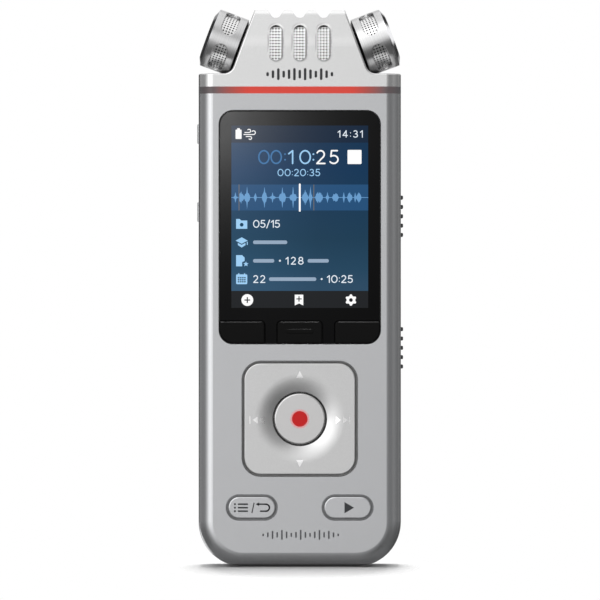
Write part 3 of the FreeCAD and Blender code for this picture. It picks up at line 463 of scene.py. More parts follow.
def barrel_material(side):
    """Turned and brushed barrel, polished at its inner chamfer."""
    surface = Surface("barrel_" + side, srgb(222, 222, 222), 1.0, BRUSHED)
    centre, direction = drum_axis(side)
    along = along_axis(surface, centre, direction)
    lines = surface.add("ShaderNodeTexNoise", Scale=9.0, Detail=6.0)
    lines.noise_dimensions = "1D"
    put(surface.tree, along, lines.inputs["W"])
    value = lines.outputs["Fac"]
    surface.to(surface.ramp(value, [(0.3, srgb(205, 205, 206)), (0.7, srgb(238, 238, 238))]), "Base Color")
    polished = surface.maths("GREATER_THAN", along, DRUM_LENGTH - DRUM_CHAMFER + 0.02)
    surface.vary(BRUSHED, POLISHED, polished, "Roughness")
    surface.bump(value, 0.004, 0.6)
    return surface.material


def board_material():
    """Green circuit board with faint tracks."""
    surface = Surface("circuit_board", srgb(20, 84, 50), roughness=0.4)
    tracks = surface.add("ShaderNodeTexBrick", Vector=surface.place(), Scale=260.0, Color1=srgb(24, 96, 58),
                         Color2=srgb(16, 74, 44), Mortar=srgb(60, 120, 76))
    surface.to(tracks.outputs["Color"], "Base Color")
    return surface.material


# A paint's depth sets how dark its painted shade in narrow gaps gets; 1.0 paints none
SLOT_MATERIALS = {
    "shell": metallic_paint("shell_silver", SILVER),
    "head": metallic_paint("head_silver", HEAD_SILVER),
    "pad": metallic_paint("pad_silver", PAD_SILVER, roughness=0.3, depth=0.02),
    "button": metallic_paint("button_silver", shade(SILVER, 1.04), depth=0.4),
    "ring": ring_material(),
    "capsule": moulded_plastic("capsule_felt", srgb(16, 16, 17), 0.8),
    "rubber": moulded_plastic("black_rubber", srgb(24, 24, 25), 0.75, 0.02),
    "lens": lens_material(),
    "lcd": moulded_plastic("display_glass", srgb(30, 40, 52), 0.15, 0.001),
    "white_frame": moulded_plastic("white_plastic", srgb(228, 228, 226), 0.5),
    "flex": moulded_plastic("ribbon_amber", srgb(176, 110, 40), 0.35, 0.002),
    "red_mark": metallic_paint("red_inlay", srgb(226, 40, 42), 0.65, 0.3, depth=1.0),
    "black_key": black_key_material(),
    "steel": plain_metal("sheet_steel", srgb(160, 160, 160), 0.35),
    "board": board_material(),
    "chips": moulded_plastic("chip_epoxy", srgb(34, 34, 35), 0.45),
    "led": moulded_plastic("led_body", srgb(228, 220, 190), 0.4),
    "socket_plastic": moulded_plastic("socket_black", srgb(30, 30, 31), 0.45),
    "bracket": moulded_plastic("bracket_grey", srgb(60, 60, 63), 0.5),
    "screws": plain_metal("nickel_screws", srgb(150, 150, 150), 0.28),
    "cell": plain_metal("foil_pouch", srgb(176, 178, 182), 0.42),
    "wires": moulded_plastic("wire_sleeve", srgb(50, 50, 52), 0.5),
    "speaker_metal": plain_metal("speaker_steel", srgb(90, 90, 92), 0.4),
    "brass": plain_metal("turned_brass", srgb(214, 170, 96), 0.25),
    "chrome_cap": plain_metal("polished_cap", srgb(228, 228, 230), 0.12),
    "mesh": plain_metal("grille_steel", srgb(254, 254, 254), 0.3),
    "slide_grip": moulded_plastic("grip_grey", srgb(84, 85, 87), 0.4, 0.003),
}
NODE_MATERIALS = {"drum_barrel_" + side: barrel_material(side) for side in ("left", "right")}
# The record button's painted shade in narrow gaps stays light
NODE_MATERIALS["record_button"] = metallic_paint("record_button_silver", srgb(220, 219, 219), depth=0.02)


def paint_nodes():
    """Gives every carried-over node the material of its slot, or its own."""
    for row in frame["record"]["subparts"]:
        piece = nodes[row["node"]]
        material = NODE_MATERIALS.get(row["node"]) or SLOT_MATERIALS[row["material_slot"]]
        piece.data.materials.clear()
        piece.data.materials.append(material)


# ---- display ------------------------------------------------------------------------------------

WHITE = lit("display_white", srgb(255, 255, 255))
PALE_BLUE = lit("display_pale_blue", srgb(160, 208, 245))
DIM_BLUE = lit("display_dim_blue", srgb(78, 124, 172))
TEXT_WHITE = lit("display_text", srgb(232, 240, 248))
WORD_GREY = lit("display_words", srgb(150, 170, 192))
WAVE_BLUE = lit("display_wave", srgb(104, 156, 204))
BAND_BLUE = lit("display_band", srgb(32, 78, 120))
STATUS_BLUE = lit("display_status", srgb(10, 34, 58))
BAR_GREY = lit("display_bar", srgb(31, 33, 36))
MARKER_BROWN = lit("display_marker", srgb(104, 104, 104))
SCREEN_BLUE = display_background()

# Layout of the display, from its status strip down, then the rows' left edges and sizes
STATUS_LOW = 95.07
BAR_HIGH = 61.9
BAND = (79.9, 85.7)
ROWS = (76.9, 72.8, 68.65, 64.55)
ICON_X = -13.0
ICON = 2.5
TEXT_X = -10.46
TEXT_HEIGHT = 1.75


def screen_fields():
    """Background, status strip, waveform band and bottom bar."""
    wide = SCREEN_HALF_WIDTH
    printed("screen_background", [span(-wide, wide, BAR_HIGH, STATUS_LOW)], SCREEN_BLUE)
    printed("screen_status_strip", [span(-wide, wide, STATUS_LOW, SCREEN_HIGH)], STATUS_BLUE)
    printed("screen_bottom_bar", [span(-wide, wide, SCREEN_LOW, BAR_HIGH)], BAR_GREY)
    printed("screen_wave_band", [span(-wide, wide, *BAND)], BAND_BLUE, 2)


# Bursts of the sound track: middle, half width, body height and spike height
BURSTS = ((-14.4, 0.5, 0.45, 1.3), (-13.1, 0.65, 1.2, 1.5), (-11.8, 0.75, 1.2, 2.6), (-9.95, 0.3, 0.9, 1.1),
          (-7.9, 0.6, 1.3, 2.6), (-6.1, 0.8, 0.4, 1.3), (-3.9, 0.85, 1.3, 2.6), (-1.5, 0.85, 1.2, 2.7),
          (1.2, 0.75, 1.3, 2.0), (2.4, 0.45, 1.1, 2.6), (4.3, 0.9, 1.25, 1.3), (6.2, 0.45, 0.5, 1.3),
          (8.0, 0.75, 1.0, 1.05), (9.85, 0.15, 0.2, 1.3), (11.2, 0.6, 1.15, 1.3), (12.4, 0.2, 0.5, 1.2),
          (13.2, 0.6, 1.1, 1.3))


def sound_track():
    """Outline of the recorded sound, mirrored about the band's middle."""
    dice = random.Random(7)
    middle = (BAND[0] + BAND[1]) / 2
    upper = []
    steps = 420
    for i in range(steps + 1):
        x = -SCREEN_HALF_WIDTH + 2 * SCREEN_HALF_WIDTH * i / steps
        height = 0.07
        for centre, half, body, spike in BURSTS:
            away = abs(x - centre)
            if away < half:
                height = max(height, body * (1 - (away / half) ** 3) * dice.uniform(0.55, 1.0))
            height = max(height, spike * (1 - away / 0.25))
        upper.append((x, middle + height))
    lower = [(x, 2 * middle - z) for x, z in reversed(upper)]
    printed("screen_sound_track", [upper + lower], WAVE_BLUE, 3)
    for index, x in enumerate((-13.6, 3.14)):
        printed("screen_marker_%d" % (index + 1), [span(x - 0.1, x + 0.1, *BAND)], MARKER_BROWN, 3)
    printed("screen_play_line", [span(-0.2, 0.2, BAND[0] - 0.25, BAND[1] + 0.2, 0.08)], WHITE, 4)


def screen_numbers():
    """Clock, timers and the numerals of the rows."""
    figures("clock_figures", "14:31", 8.45, 14.13, 96.2, 97.85, 0.2, TEXT_WHITE)
    big = (90.25, 93.45, 0.34)
    figures("timer_hours", "00", -9.34, -3.97, *big, DIM_BLUE)
    figures("timer_minutes", "10", -2.63, 2.52, *big, PALE_BLUE)
    figures("timer_seconds", "25", 3.6, 8.76, *big, WHITE)
    for name, x, material in (("timer_colon_left", -3.3, DIM_BLUE), ("timer_colon_right", 3.05, PALE_BLUE)):
        printed(name, [disc(x, z, 0.2, 12) for z in (91.25, 92.5)], material, 2)
    figures("total_time", "00:20:35", -4.98, 4.58, 87.57, 89.2, 0.19, PALE_BLUE)
    half = TEXT_HEIGHT / 2
    for name, text, left, right, z in (("file_count", "05/15", TEXT_X, -4.42, ROWS[0]),
                                       ("bit_rate", "128", -3.2, 0.85, ROWS[2]),
                                       ("day_figures", "22", TEXT_X, -7.7, ROWS[3]),
                                       ("time_figures", "10:25", 6.05, 11.9, ROWS[3])):
        figures(name, text, left, right, z - half, z + half, 0.22, TEXT_WHITE)


def blank_words():
    """Plain bars where the display shows words."""
    words = {"row_2_words": [(TEXT_X, -2.8, ROWS[1])],
             "row_3_words": [(TEXT_X, -5.7, ROWS[2]), (1.75, 6.5, ROWS[2])],
             "row_4_words": [(-6.9, 3.7, ROWS[3])]}
    dots = {"row_3_dot": (-4.45, ROWS[2]), "row_4_dot": (4.9, ROWS[3])}
    for name, bars in words.items():
        printed(name, [span(a, b, z - 0.42, z + 0.38, 0.38) for a, b, z in bars], WORD_GREY, 2)
    for name, (x, z) in dots.items():
        printed(name, [disc(x, z, 0.22, 16)], TEXT_WHITE, 2)


def status_icons():
    """Battery, wind filter and stop symbols."""
    printed("battery_symbol", [rounded(-13.7, 96.95, 1.35, 2.1, 0.15), span(-14.0, -13.4, 98.0, 98.3)],
            WHITE, 2)
    gusts = []
    for z, start, reach, turn, size in ((97.35, -12.3, -11.35, 1, 0.36), (96.9, -12.5, -10.35, 1, 0.42),
                                        (96.45, -12.0, -11.1, -1, 0.33)):
        curl = arc(reach, z + turn * size, size, -turn * 90, turn * 140, 9)
        gusts += ribbon([(start, z)] + curl, 0.2)
    printed("wind_symbol", gusts, WHITE, 2)
    printed("stop_symbol", [rounded(12.25, 91.87, 3.13, 3.16, 0.2)], WHITE, 2)


def row_icons():
    """Folder, topic, file and calendar symbols."""
    x, h = ICON_X, ICON / 2
    z = ROWS[0]
    folder = [(x - h, z - 1.1), (x + h, z - 1.1), (x + h, z + 0.75), (x - 0.1, z + 0.75), (x - 0.45, z + 1.1),
              (x - h, z + 1.1)]
    printed("folder_symbol", [folder], PALE_BLUE, 2)
    printed("folder_mark", [disc(x, z - 0.2, 0.42, 16)], SCREEN_BLUE, 3)
    z = ROWS[1]
    cap = [(x - 1.35, z + 0.35), (x, z - 0.35), (x + 1.35, z + 0.35), (x, z + 1.1)]
    bowl = [(x - 0.85, z - 0.15), (x, z - 0.6), (x + 0.85, z - 0.15), (x + 0.85, z - 0.65), (x, z - 1.2),
            (x - 0.85, z - 0.65)]
    tassel = span(x + 1.15, x + 1.35, z - 0.6, z + 0.1)
    printed("topic_symbol", [cap, bowl, tassel], PALE_BLUE, 2)
    z = ROWS[2]
    page = [(x - h, z - 1.25), (x + 0.1, z - 1.25), (x + 0.1, z - 0.3), (x + 0.65, z - 0.05),
            (x + 0.65, z + 0.7), (x + 0.1, z + 1.25), (x - h, z + 1.25)]
    star = [(x + 0.95 + r * math.sin(math.radians(36 * i)), z - 0.75 + r * math.cos(math.radians(36 * i)))
            for i, r in enumerate((0.62, 0.27) * 5)]
    printed("file_symbol", [page, star], PALE_BLUE, 2)
    z = ROWS[3]
    printed("calendar_symbol", [rounded(x, z - 0.05, ICON, 2.2, 0.25)] +
            [span(x + u - 0.12, x + u + 0.12, z + 1.05, z + 1.3) for u in (-0.65, 0.65)], PALE_BLUE, 2)
    cells = [rounded(x + u, z + v, 0.34, 0.3) for u in (-0.7, -0.23, 0.24, 0.71) for v in (-0.6, -0.15, 0.3)]
    printed("calendar_cells", cells, SCREEN_BLUE, 3)


def bar_icons():
    """Add, bookmark and settings symbols over the three keys."""
    left, middle, right = -11.74, -0.17, 11.45
    z = 59.85
    printed("add_symbol", [disc(left, z, 1.32)], WHITE, 2)
    printed("add_cross", [plus(left, z, 1.3, 0.26)], BAR_GREY, 3)
    flag = [(middle - 0.95, z - 1.2), (middle, z - 0.75), (middle + 0.95, z - 1.2), (middle + 0.95, z + 1.2),
            (middle - 0.95, z + 1.2)]
    printed("bookmark_symbol", [flag], WHITE, 2)
    printed("bookmark_cross", [plus(middle, z + 0.25, 1.2, 0.24)], BAR_GREY, 3)
    cog = []
    for i in range(24):
        radius = 1.28 if i % 4 in (1, 2) else 0.97
        angle = math.radians(15 * i + 7.5 + 60)
        cog.append((right + radius * math.cos(angle), z + radius * math.sin(angle)))
    printed("settings_symbol", [cog], WHITE, 2)
    printed("settings_hole", [disc(right, z, 0.42, 20)], BAR_GREY, 3)


# ---- printed marks ------------------------------------------------------------------------------


def mark_material(name, colour, roughness=0.45, metallic=0.0):
    """Printed ink with a slightly uneven edge sheen."""
    surface = Surface(name, colour, metallic, roughness)
    surface.vary(roughness - 0.05, roughness + 0.08, surface.noise(4000.0, 2.0), "Roughness")
    return surface.material


INK_MARK = mark_material("print_ink", INK)
GREY_MARK = mark_material("print_grey", srgb(104, 106, 109))
LIGHT_MARK = mark_material("print_light", srgb(255, 255, 255), 0.2, 1.0)
HALO_MARK = mark_material("print_pink", srgb(252, 186, 188), 0.25, 0.8)
FAINT_MARK = mark_material("print_faint", srgb(242, 242, 242), 0.25, 0.9)


def draped(name, outlines, material, body, slot, onto):
    """Thin marks that lie on a node's curved front, each point dropped onto it along +Y."""
    tree = face_tree(onto)
    bm = bmesh.new()
    for outline in outlines:
        bm.faces.new([bm.verts.new((x * MM, 0, z * MM)) for x, z in outline])
    bm.normal_update()
    bmesh.ops.triangulate(bm, faces=list(bm.faces))
    for _ in range(3):
        long_edges = [e for e in bm.edges if e.calc_length() > MARK_DETAIL * MM]
        if long_edges:
            bmesh.ops.subdivide_edges(bm, edges=long_edges, cuts=1)
            bmesh.ops.triangulate(bm, faces=list(bm.faces))
    for vertex in bm.verts:
        vertex.co.y = depth_at(tree, vertex.co.x, vertex.co.z) - MARK_LIFT * MM
    grown = bmesh.ops.extrude_face_region(bm, geom=list(bm.faces))
    moved = [g for g in grown["geom"] if isinstance(g, bmesh.types.BMVert)]
    bmesh.ops.translate(bm, verts=moved, vec=(0, 1.5 * MARK_LIFT * MM, 0))
    return mesh_piece(name, bm, material, body)


def triangle(x, z, width, height, towards):
    """Triangle pointing left, right, up or down."""
    a, b = width / 2, height / 2
    return {"right": [(x - a, z - b), (x + a, z), (x - a, z + b)],
            "left": [(x + a, z + b), (x - a, z), (x + a, z - b)],
            "up": [(x - a, z - b), (x + a, z - b), (x, z + b)],
            "down": [(x + a, z + b), (x - a, z + b), (x, z - b)]}[towards]


def pad_marks():
    """Light symbols at the four sides of the navigation pad."""
    middle_x, middle_z = centre_of("navigation_pad")
    pad = ("navigation_pad_body", "pad", "navigation_pad")
    draped("pad_up_mark", [triangle(middle_x, middle_z + 9.95, 1.7, 1.65, "up")], LIGHT_MARK, *pad)
    draped("pad_down_mark", [triangle(middle_x, middle_z - 10.0, 1.7, 1.65, "down")], LIGHT_MARK, *pad)
    z = middle_z - 0.26
    sides = {"left": ([triangle(-9.97, z, 1.17, 1.7, "left"), rounded(-11.15, z, 0.25, 1.7)],
                      [triangle(-8.78, z, 1.0, 1.6, "left"), rounded(-7.98, z, 0.22, 1.6)]),
             "right": ([triangle(8.66, z, 1.18, 1.7, "right")],
                       [triangle(10.27, z, 1.17, 1.6, "right"), rounded(11.18, z, 0.22, 1.6)])}
    for side, (clear, faint) in sides.items():
        draped("pad_skip_mark_" + side, clear, LIGHT_MARK, *pad)
        draped("pad_skip_mark_faint_" + side, faint, FAINT_MARK, *pad)


def key_marks():
    """Printed symbols of the two lower keys."""
    x, z = centre_of("menu_key")
    shapes = []
    for step in (-0.78, 0.0, 0.78):
        shapes.append(rounded(x - 3.8, z + step, 0.4, 0.4, 0.05))
        shapes.append(rounded(x - 2.0, z + step, 2.25, 0.36, 0.05))
    shapes += ribbon([(x + 0.02, z - 1.1), (x + 0.48, z + 1.0)], 0.24)
    hook = [(x + 1.2, z + 0.78)] + arc(x + 3.15, z, 0.78, 90, -90, 12) + [(x + 1.95, z - 0.78)]
    shapes += ribbon(hook, 0.34)
    shapes.append(triangle(x + 1.25, z + 0.78, 0.75, 0.85, "left"))
    printed("menu_and_back_mark", shapes, INK_MARK, 1, "menu_key_body",
            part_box("menu_key")[0].y / MM)
    x, _ = centre_of("play_key")
    printed("play_mark", [triangle(x + 0.36, z, 2.15, 2.5, "right")], INK_MARK, 1, "play_key_body",
            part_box("play_key")[0].y / MM)


def record_halo():
    """Pale pink line printed round the red inlay."""
    low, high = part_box("record_mark")
    radius = (high.x - low.x) / 2 / MM
    x, z = centre_of("record_mark")
    shapes = []
    steps = 48
    turn = 360 / steps
    for i in range(steps):
        inner, outer = [arc(x, z, radius + r, turn * i, turn * (i + 1), 2) for r in (0.02, 0.38)]
        shapes.append(inner + outer[::-1])
    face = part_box("record_button")[0].y / MM
    printed("record_halo", shapes, HALO_MARK, 1, "record_button_body", face)


def level_bars(x, z, heights, pitch, width):
    """Row of upright bars about a middle, like a level meter."""
    first = x - pitch * (len(heights) - 1) / 2
    return [rounded(first + i * pitch, z, width, height, width / 2.2) for i, height in enumerate(heights)]


def plain_marks():
    """Level-meter motifs on the head and the foot, in place of any lettering."""
    bold = (0.9, 1.7, 2.6, 1.5, 2.1, 2.7, 1.9, 2.7, 2.1, 1.5, 2.6, 1.7, 0.9)
    draped("head_motif", level_bars(0, 110.4, bold, 1.2, 0.55), INK_MARK, BODY, "head", "mic_head")
    fine = (0.6, 1.1, 1.8, 1.2, 2.2, 1.5, 0.9, 1.3, 2.2, 1.3, 0.9, 1.5, 2.2, 1.2, 1.8, 1.1, 0.6)
    draped("foot_motif", level_bars(0.2, 7.3, fine, 1.05, 0.34), GREY_MARK, BODY, "shell", "front_cover")


# ---- perforated metal ---------------------------------------------------------------------------

SLOT_PITCH = 5.35
SLOT_WIDTH = 3.2
SLOT_HEIGHT = 8.35
SLOT_MIDDLE_Z = 117.45
# Section of a slot's collar: distance out from the slot's edge and height over the head
COLLAR = ((-0.2, -0.6), (-0.2, 0.1), (-0.13, 0.09), (-0.06, 0.055), (0.0, 0.015), (0.28, 0.005), (0.28, -0.3))
# Distance from a slot's middle line to the bare head beside it, which sets the collar's depth
BESIDE_SLOT = 2.3
# Perforated sheet: spacing of its holes, their radius and corners, its thickness, and its depth in the strip
PITCH = 0.669
HOLE = 0.2
CORNERS = 8
SHEET = 0.08
STRIP_DEPTH = 0.1
STRIP_COLUMNS = 21
# Holes round a drum and along it
TURNS = 56
DRUM_ROWS = 8
# The felt's distance behind the sheet
FELT_GAP = 0.2


def perforated(name, columns, rows, place, node, closed=False):
    """Sheet with a square grid of round holes, laid on a surface by place(u, v)."""
    bm = bmesh.new()

    def point(u, v):
        return bm.verts.new(place(u * PITCH, v * PITCH))

    for column in range(columns):
        for row in range(rows):
            u, v = column + 0.5, row + 0.5
            inner, outer = [], []
            for i in range(CORNERS):
                angle = 2 * math.pi * (i + 0.5) / CORNERS
                across, up = math.cos(angle), math.sin(angle)
                reach = 0.5 / max(abs(across), abs(up))
                inner.append(point(u + across * HOLE / PITCH, v + up * HOLE / PITCH))
                outer.append(point(u + across * reach, v + up * reach))
            for i in range(CORNERS):
                j = (i + 1) % CORNERS
                bm.faces.new((outer[i], outer[j], inner[j], inner[i]))
    # The cells' holes are eight-sided, which leaves a diamond open at each corner of the grid
    cut = 0.5 * (1 - math.tan(math.pi / CORNERS))
    for column in range(columns if closed else columns + 1):
        for row in range(rows + 1):
            diamond = [(column + du, row + dv) for du, dv in ((cut, 0), (0, cut), (-cut, 0), (0, -cut))]
            inside = [(u, v) for u, v in diamond if (closed or 0 <= u <= columns) and 0 <= v <= rows]
            if len(inside) >= 3:
                bm.faces.new([point(u, v) for u, v in inside])
    bmesh.ops.remove_doubles(bm, verts=bm.verts, dist=1e-6)
    piece = mesh_piece(name, bm, SLOT_MATERIALS["mesh"], BODY)
    solid = piece.modifiers.new("sheet", "SOLIDIFY")
    solid.thickness = SHEET * MM
    solid.offset = 0.0
    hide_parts(node)


def felt(name, columns, rows, place):
    """Black acoustic felt close behind a perforated sheet."""
    bm = bmesh.new()
    grid = [[bm.verts.new(place(u * PITCH, v * PITCH)) for u in range(columns + 1)] for v in (0, rows)]
    for u in range(columns):
        bm.faces.new((grid[0][u], grid[0][u + 1], grid[1][u + 1], grid[1][u]))
    bmesh.ops.remove_doubles(bm, verts=bm.verts, dist=1e-6)
    mesh_piece(name, bm, SLOT_MATERIALS["capsule"], BODY)


def slot_rims():
    """Thin collars round the three grille slots, which slope down outwards to the head."""
    tree = face_tree("mic_head")
    half, straight = SLOT_WIDTH / 2, (SLOT_HEIGHT - SLOT_WIDTH) / 2
    bm = bmesh.new()
    for middle in (-SLOT_PITCH, 0.0, SLOT_PITCH):
        path = arc(0, straight, half, 0, 180, 19) + arc(0, -straight, half, 180, 360, 19)
        rings = []
        for u, v in path:
            centre_v = max(-straight, min(straight, v))
            outward = Vector((u, 0, v - centre_v)).normalized()
            x, z = (middle + u) * MM, (SLOT_MIDDLE_Z + v) * MM
            heart = Vector((x, depth_at(tree, (middle + BESIDE_SLOT) * MM, z), z))
            rings.append([bm.verts.new(heart + (outward * out - Vector((0, rise, 0))) * MM)
                          for out, rise in COLLAR])
        for i, ring in enumerate(rings):
            following = rings[(i + 1) % len(rings)]
            for j in range(len(COLLAR)):
                k = (j + 1) % len(COLLAR)
                bm.faces.new((ring[j], ring[k], following[k], following[j]))
    mesh_piece("grille_slot_rims", bm, SLOT_MATERIALS["head"], BODY)


def grille_sheets():
    """Perforated strip of the middle microphone and sleeves of the two drums."""
    low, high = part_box("centre_mic_mesh")
    tree = face_tree("centre_mic_mesh")
    rows = int((high.z - low.z) / MM / PITCH)
    start_x = (low.x + high.x) / 2 - STRIP_COLUMNS * PITCH / 2 * MM
    start_z = (low.z + high.z) / 2 - rows * PITCH / 2 * MM

    def on_strip(u, v, depth=STRIP_DEPTH):
        x, z = start_x + u * MM, start_z + v * MM
        return (x, depth_at(tree, x, z) + depth * MM, z)

    perforated("centre_grille", STRIP_COLUMNS, rows, on_strip, "centre_mic_mesh")
    felt("centre_felt", STRIP_COLUMNS, rows, lambda u, v: on_strip(u, v, STRIP_DEPTH + FELT_GAP))
    forward = Vector((0, -1, 0))
    radius = TURNS * PITCH / (2 * math.pi)
    start = MESH_START + (MESH_LENGTH - DRUM_ROWS * PITCH) / 2
    for side in ("left", "right"):
        centre, direction = drum_axis(side)
        upward = forward.cross(direction)

        def on_sleeve(u, v, depth=0.0, centre=centre, direction=direction, upward=upward):
            angle = 2 * math.pi * u / (TURNS * PITCH)
            spoke = forward * math.cos(angle) + upward * math.sin(angle)
            return centre + (direction * (start + v) + spoke * (radius - depth)) * MM

        perforated("drum_grille_" + side, TURNS, DRUM_ROWS, on_sleeve, "drum_mesh_" + side, closed=True)
        felt("drum_felt_" + side, TURNS, DRUM_ROWS, lambda u, v: on_sleeve(u, v, FELT_GAP))


# ---- studio -------------------------------------------------------------------------------------


# Half the floor's width in metres
FLOOR_SIZE = 3.0


def studio():
    """White floor, surroundings and soft lamps."""
    bm = bmesh.new()
    bmesh.ops.create_grid(bm, x_segments=1, y_segments=1, size=FLOOR_SIZE)
    data = bpy.data.meshes.new("floor")
    bm.to_mesh(data)
    bm.free()
    floor = bpy.data.objects.new("floor", data)
    data.materials.append(floor_material())
    bpy.context.scene.collection.objects.link(floor)
    floor.visible_glossy = False
    surroundings()
    overhead = lamp("overhead_lamp", (0.0, 0.13, 0.85), (0, 0, 0.03), 0.16, 0.30, 6.0)
    overhead.visible_glossy = False
    glare = lamp("glare_lamp", (-0.030, -0.42, 0.119), (-0.021, 0, 0.1), 0.02, 0.02, 0.19)
    light_only(glare, ("display_window", "screen_"))
    edge = lamp("key_edge_lamp", (0.0, -0.25, 0.35), (0, 0, 0.052), 0.1, 0.1, 3.0)
    light_only(edge, ("function_key_",))


def light_only(light, beginnings):
    """Limits a lamp to the pieces whose names begin in one of the given ways."""
    receivers = bpy.data.collections.new(light.name + "_receivers")
    for piece in bpy.context.scene.objects:
        if piece.type == "MESH" and piece.name.startswith(beginnings):
            receivers.objects.link(piece)
    light.light_linking.receiver_collection = receivers


# Distances in metres from the recorder's foot between which the floor fades, and how much a distance
# to the front or back counts
FLOOR_FADE = (0.019, 0.030)
FRONT_SHARE = 0.4


def floor_material():
    """White floor that fades into the white surroundings away from the recorder."""
    surface = Surface("floor_white", (0.92, 0.92, 0.92, 1), roughness=0.9, Specular_IOR_Level=0.0)
    shrunk = surface.add("ShaderNodeVectorMath", "MULTIPLY", i0=surface.place(), i1=(1.0, FRONT_SHARE, 1.0))
    distance = surface.add("ShaderNodeVectorMath", "LENGTH", i0=shrunk.outputs[0])
    fade = surface.add("ShaderNodeMapRange", Value=distance.outputs["Value"], From_Min=FLOOR_FADE[0],
                       From_Max=FLOOR_FADE[1])
    clear = surface.add("ShaderNodeBsdfTransparent")
    mix = surface.add("ShaderNodeMixShader", i0=fade.outputs["Result"], i1=surface.shader.outputs[0],
                      i2=clear.outputs[0])
    put(surface.tree, mix.outputs[0], surface.tree.nodes["Material Output"].inputs["Surface"])
    return surface.material


def lamp(name, place, aim, width, height, power):
    """Rectangular soft lamp aimed at a point."""
    data = bpy.data.lights.new(name, "AREA")
    data.shape = "RECTANGLE"
    data.size, data.size_y, data.energy = width, height, power
    light = bpy.data.objects.new(name, data)
    light.location = place
    light.rotation_euler = (Vector(aim) - Vector(place)).to_track_quat("-Z", "Y").to_euler()
    light.visible_camera = False
    bpy.context.scene.collection.objects.link(light)
    return light


# Brightness of the surroundings by compass angle, in degrees from the front round by the left
COMPASS = ((0, 1.0), (6, 1.22), (10, 1.4), (15, 1.95), (20, 2.15), (32, 2.05), (42, 1.35), (54, 0.72),
           (66, 0.32), (78, 0.26), (104, 0.27), (126, 0.38), (165, 0.42), (172, 0.9), (180, 1.3), (188, 0.9),
           (195, 0.36), (234, 0.32), (262, 0.18), (290, 0.28), (300, 0.33), (320, 0.2), (346, 0.2),
           (349.5, 0.5), (353, 0.77), (360, 0.97))
# The same by elevation in degrees
ELEVATION = ((-90, 0.12), (-60, 0.18), (-40, 0.24), (-20, 0.3), (-12, 0.34), (-8, 0.5), (-5, 0.76), (-2, 0.9),
             (0, 1.0), (6, 1.12), (14, 1.2), (22, 1.04), (30, 1.0), (38, 1.2), (50, 1.36), (58, 1.25),
             (68, 0.95), (80, 1.25), (90, 1.4))
# Strengths of the mirrored studio and of the even light on matt surfaces
MIRRORED = 0.9
AMBIENT = 0.34
# Steepness at which the compass angle starts and stops to matter less, as the direction's Z
STEEP = (0.5, 0.97)
# Directions below the first Z are held to a brightness, wholly so at the second
LOW = (-0.22, -0.5)
LOW_BRIGHTNESS = 0.65
# Dark and bright panels behind, by compass angle, elevation, full radius and faded radius
DARK_PANELS = ((140, 12, 14, 18), (156, 8, 9, 12), (206, 20, 8, 10), (217, 3, 9, 12), (227, -20, 12, 20))
DARK = 0.04
BRIGHT_PANELS = ((143, -19, 10, 15), (223, 18.5, 5, 8))
BRIGHT = 1.3


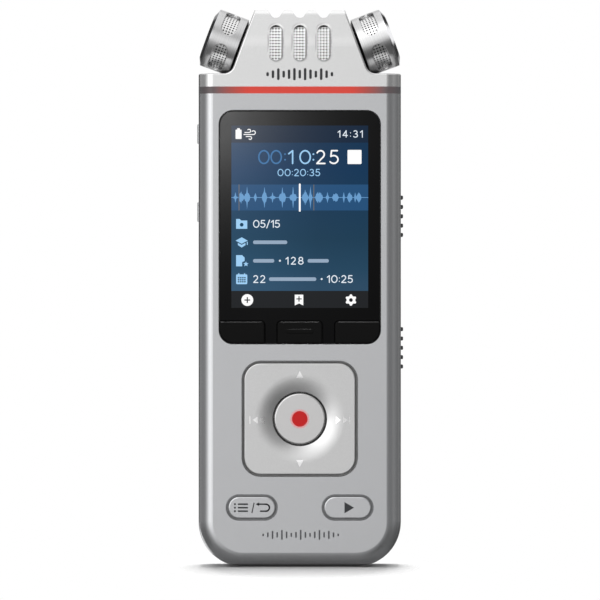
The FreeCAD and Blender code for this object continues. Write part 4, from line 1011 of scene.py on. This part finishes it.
def surroundings():
    """World: white behind the recorder, which mirrors a studio with bright and dark parts."""
    world = bpy.data.worlds.new("studio")
    bpy.context.scene.world = world
    world.use_nodes = True
    tree = world.node_tree
    tree.nodes.clear()

    def add(kind, operation=None, **inputs):
        return add_node(tree, kind, operation, **inputs)

    def graph(value, stops):
        return add_ramp(tree, value, [(position, (level, level, level, 1)) for position, level in stops])

    way = add("ShaderNodeTexCoord").outputs["Generated"]
    parts = add("ShaderNodeSeparateXYZ", Vector=way)
    turn = add("ShaderNodeMath", "ARCTAN2", i0=parts.outputs["X"], i1=parts.outputs["Y"])
    share = add("ShaderNodeMapRange", Value=turn.outputs[0], i1=-math.pi, i2=math.pi)
    around = graph(share.outputs["Result"], [(angle / 360, level) for angle, level in COMPASS])
    height = add("ShaderNodeMapRange", Value=parts.outputs["Z"], i1=-1.0, i2=1.0)
    upward = graph(height.outputs["Result"],
                   [((math.sin(math.radians(angle)) + 1) / 2, level) for angle, level in ELEVATION])
    steep = add("ShaderNodeMath", "ABSOLUTE", i0=parts.outputs["Z"])
    steep = add("ShaderNodeMapRange", Value=steep.outputs[0], i1=STEEP[0], i2=STEEP[1])
    even = add("ShaderNodeMix", i0=steep.outputs["Result"], i2=around, i3=1.0).outputs["Result"]
    down = add("ShaderNodeMapRange", Value=parts.outputs["Z"], i1=LOW[0], i2=LOW[1])
    held = add("ShaderNodeMath", "MINIMUM", i0=even, i1=LOW_BRIGHTNESS)
    even = add("ShaderNodeMix", i0=down.outputs["Result"], i2=even, i3=held.outputs[0])
    level = add("ShaderNodeMath", "MULTIPLY", i0=even.outputs["Result"], i1=upward).outputs[0]
    for panels, brightness in ((DARK_PANELS, DARK), (BRIGHT_PANELS, BRIGHT)):
        for compass, elevation, full, faded in panels:
            phi, theta = math.radians(compass), math.radians(elevation)
            aim = (-math.sin(phi) * math.cos(theta), -math.cos(phi) * math.cos(theta), math.sin(theta))
            near = add("ShaderNodeVectorMath", "DOT_PRODUCT", i0=way, i1=aim)
            inside = add("ShaderNodeMapRange", Value=near.outputs["Value"], i1=math.cos(math.radians(faded)),
                         i2=math.cos(math.radians(full)))
            panel = add("ShaderNodeMix", i0=inside.outputs["Result"], i2=level, i3=brightness)
            level = panel.outputs["Result"]
    mirrored = add("ShaderNodeBackground", Color=level, Strength=MIRRORED)
    ambient = add("ShaderNodeBackground", Color=(1, 1, 1, 1), Strength=AMBIENT)
    seen = add("ShaderNodeBackground", Color=(1, 1, 1, 1), Strength=1.0)
    path = add("ShaderNodeLightPath")
    soft = add("ShaderNodeMixShader", i0=path.outputs["Is Diffuse Ray"], i1=mirrored.outputs[0],
               i2=ambient.outputs[0])
    mix = add("ShaderNodeMixShader", i0=path.outputs["Is Camera Ray"], i1=soft.outputs[0], i2=seen.outputs[0])
    output = add("ShaderNodeOutputWorld")
    tree.links.new(mix.outputs[0], output.inputs["Surface"])


# Width of the view at the recorder's front, and the X and Z of its middle
VIEW_WIDTH = 134.28
VIEW_MIDDLE = (0.05, 59.86)


def camera():
    """Long lens straight at the front, level with the recorder's middle."""
    data = bpy.data.cameras.new("camera")
    data.lens = 300
    data.sensor_width = 36
    data.clip_end = 20
    distance = VIEW_WIDTH * MM * data.lens / data.sensor_width
    eye = bpy.data.objects.new("camera", data)
    eye.location = (VIEW_MIDDLE[0] * MM, FRONT * MM - distance, VIEW_MIDDLE[1] * MM)
    eye.rotation_euler = (math.pi / 2, 0, 0)
    bpy.context.scene.collection.objects.link(eye)
    bpy.context.scene.camera = eye
    bpy.context.scene.view_settings.view_transform = "Standard"


paint_nodes()
screen_fields()
sound_track()
screen_numbers()
blank_words()
status_icons()
row_icons()
bar_icons()
pad_marks()
key_marks()
record_halo()
plain_marks()
grille_sheets()
slot_rims()
studio()
camera()
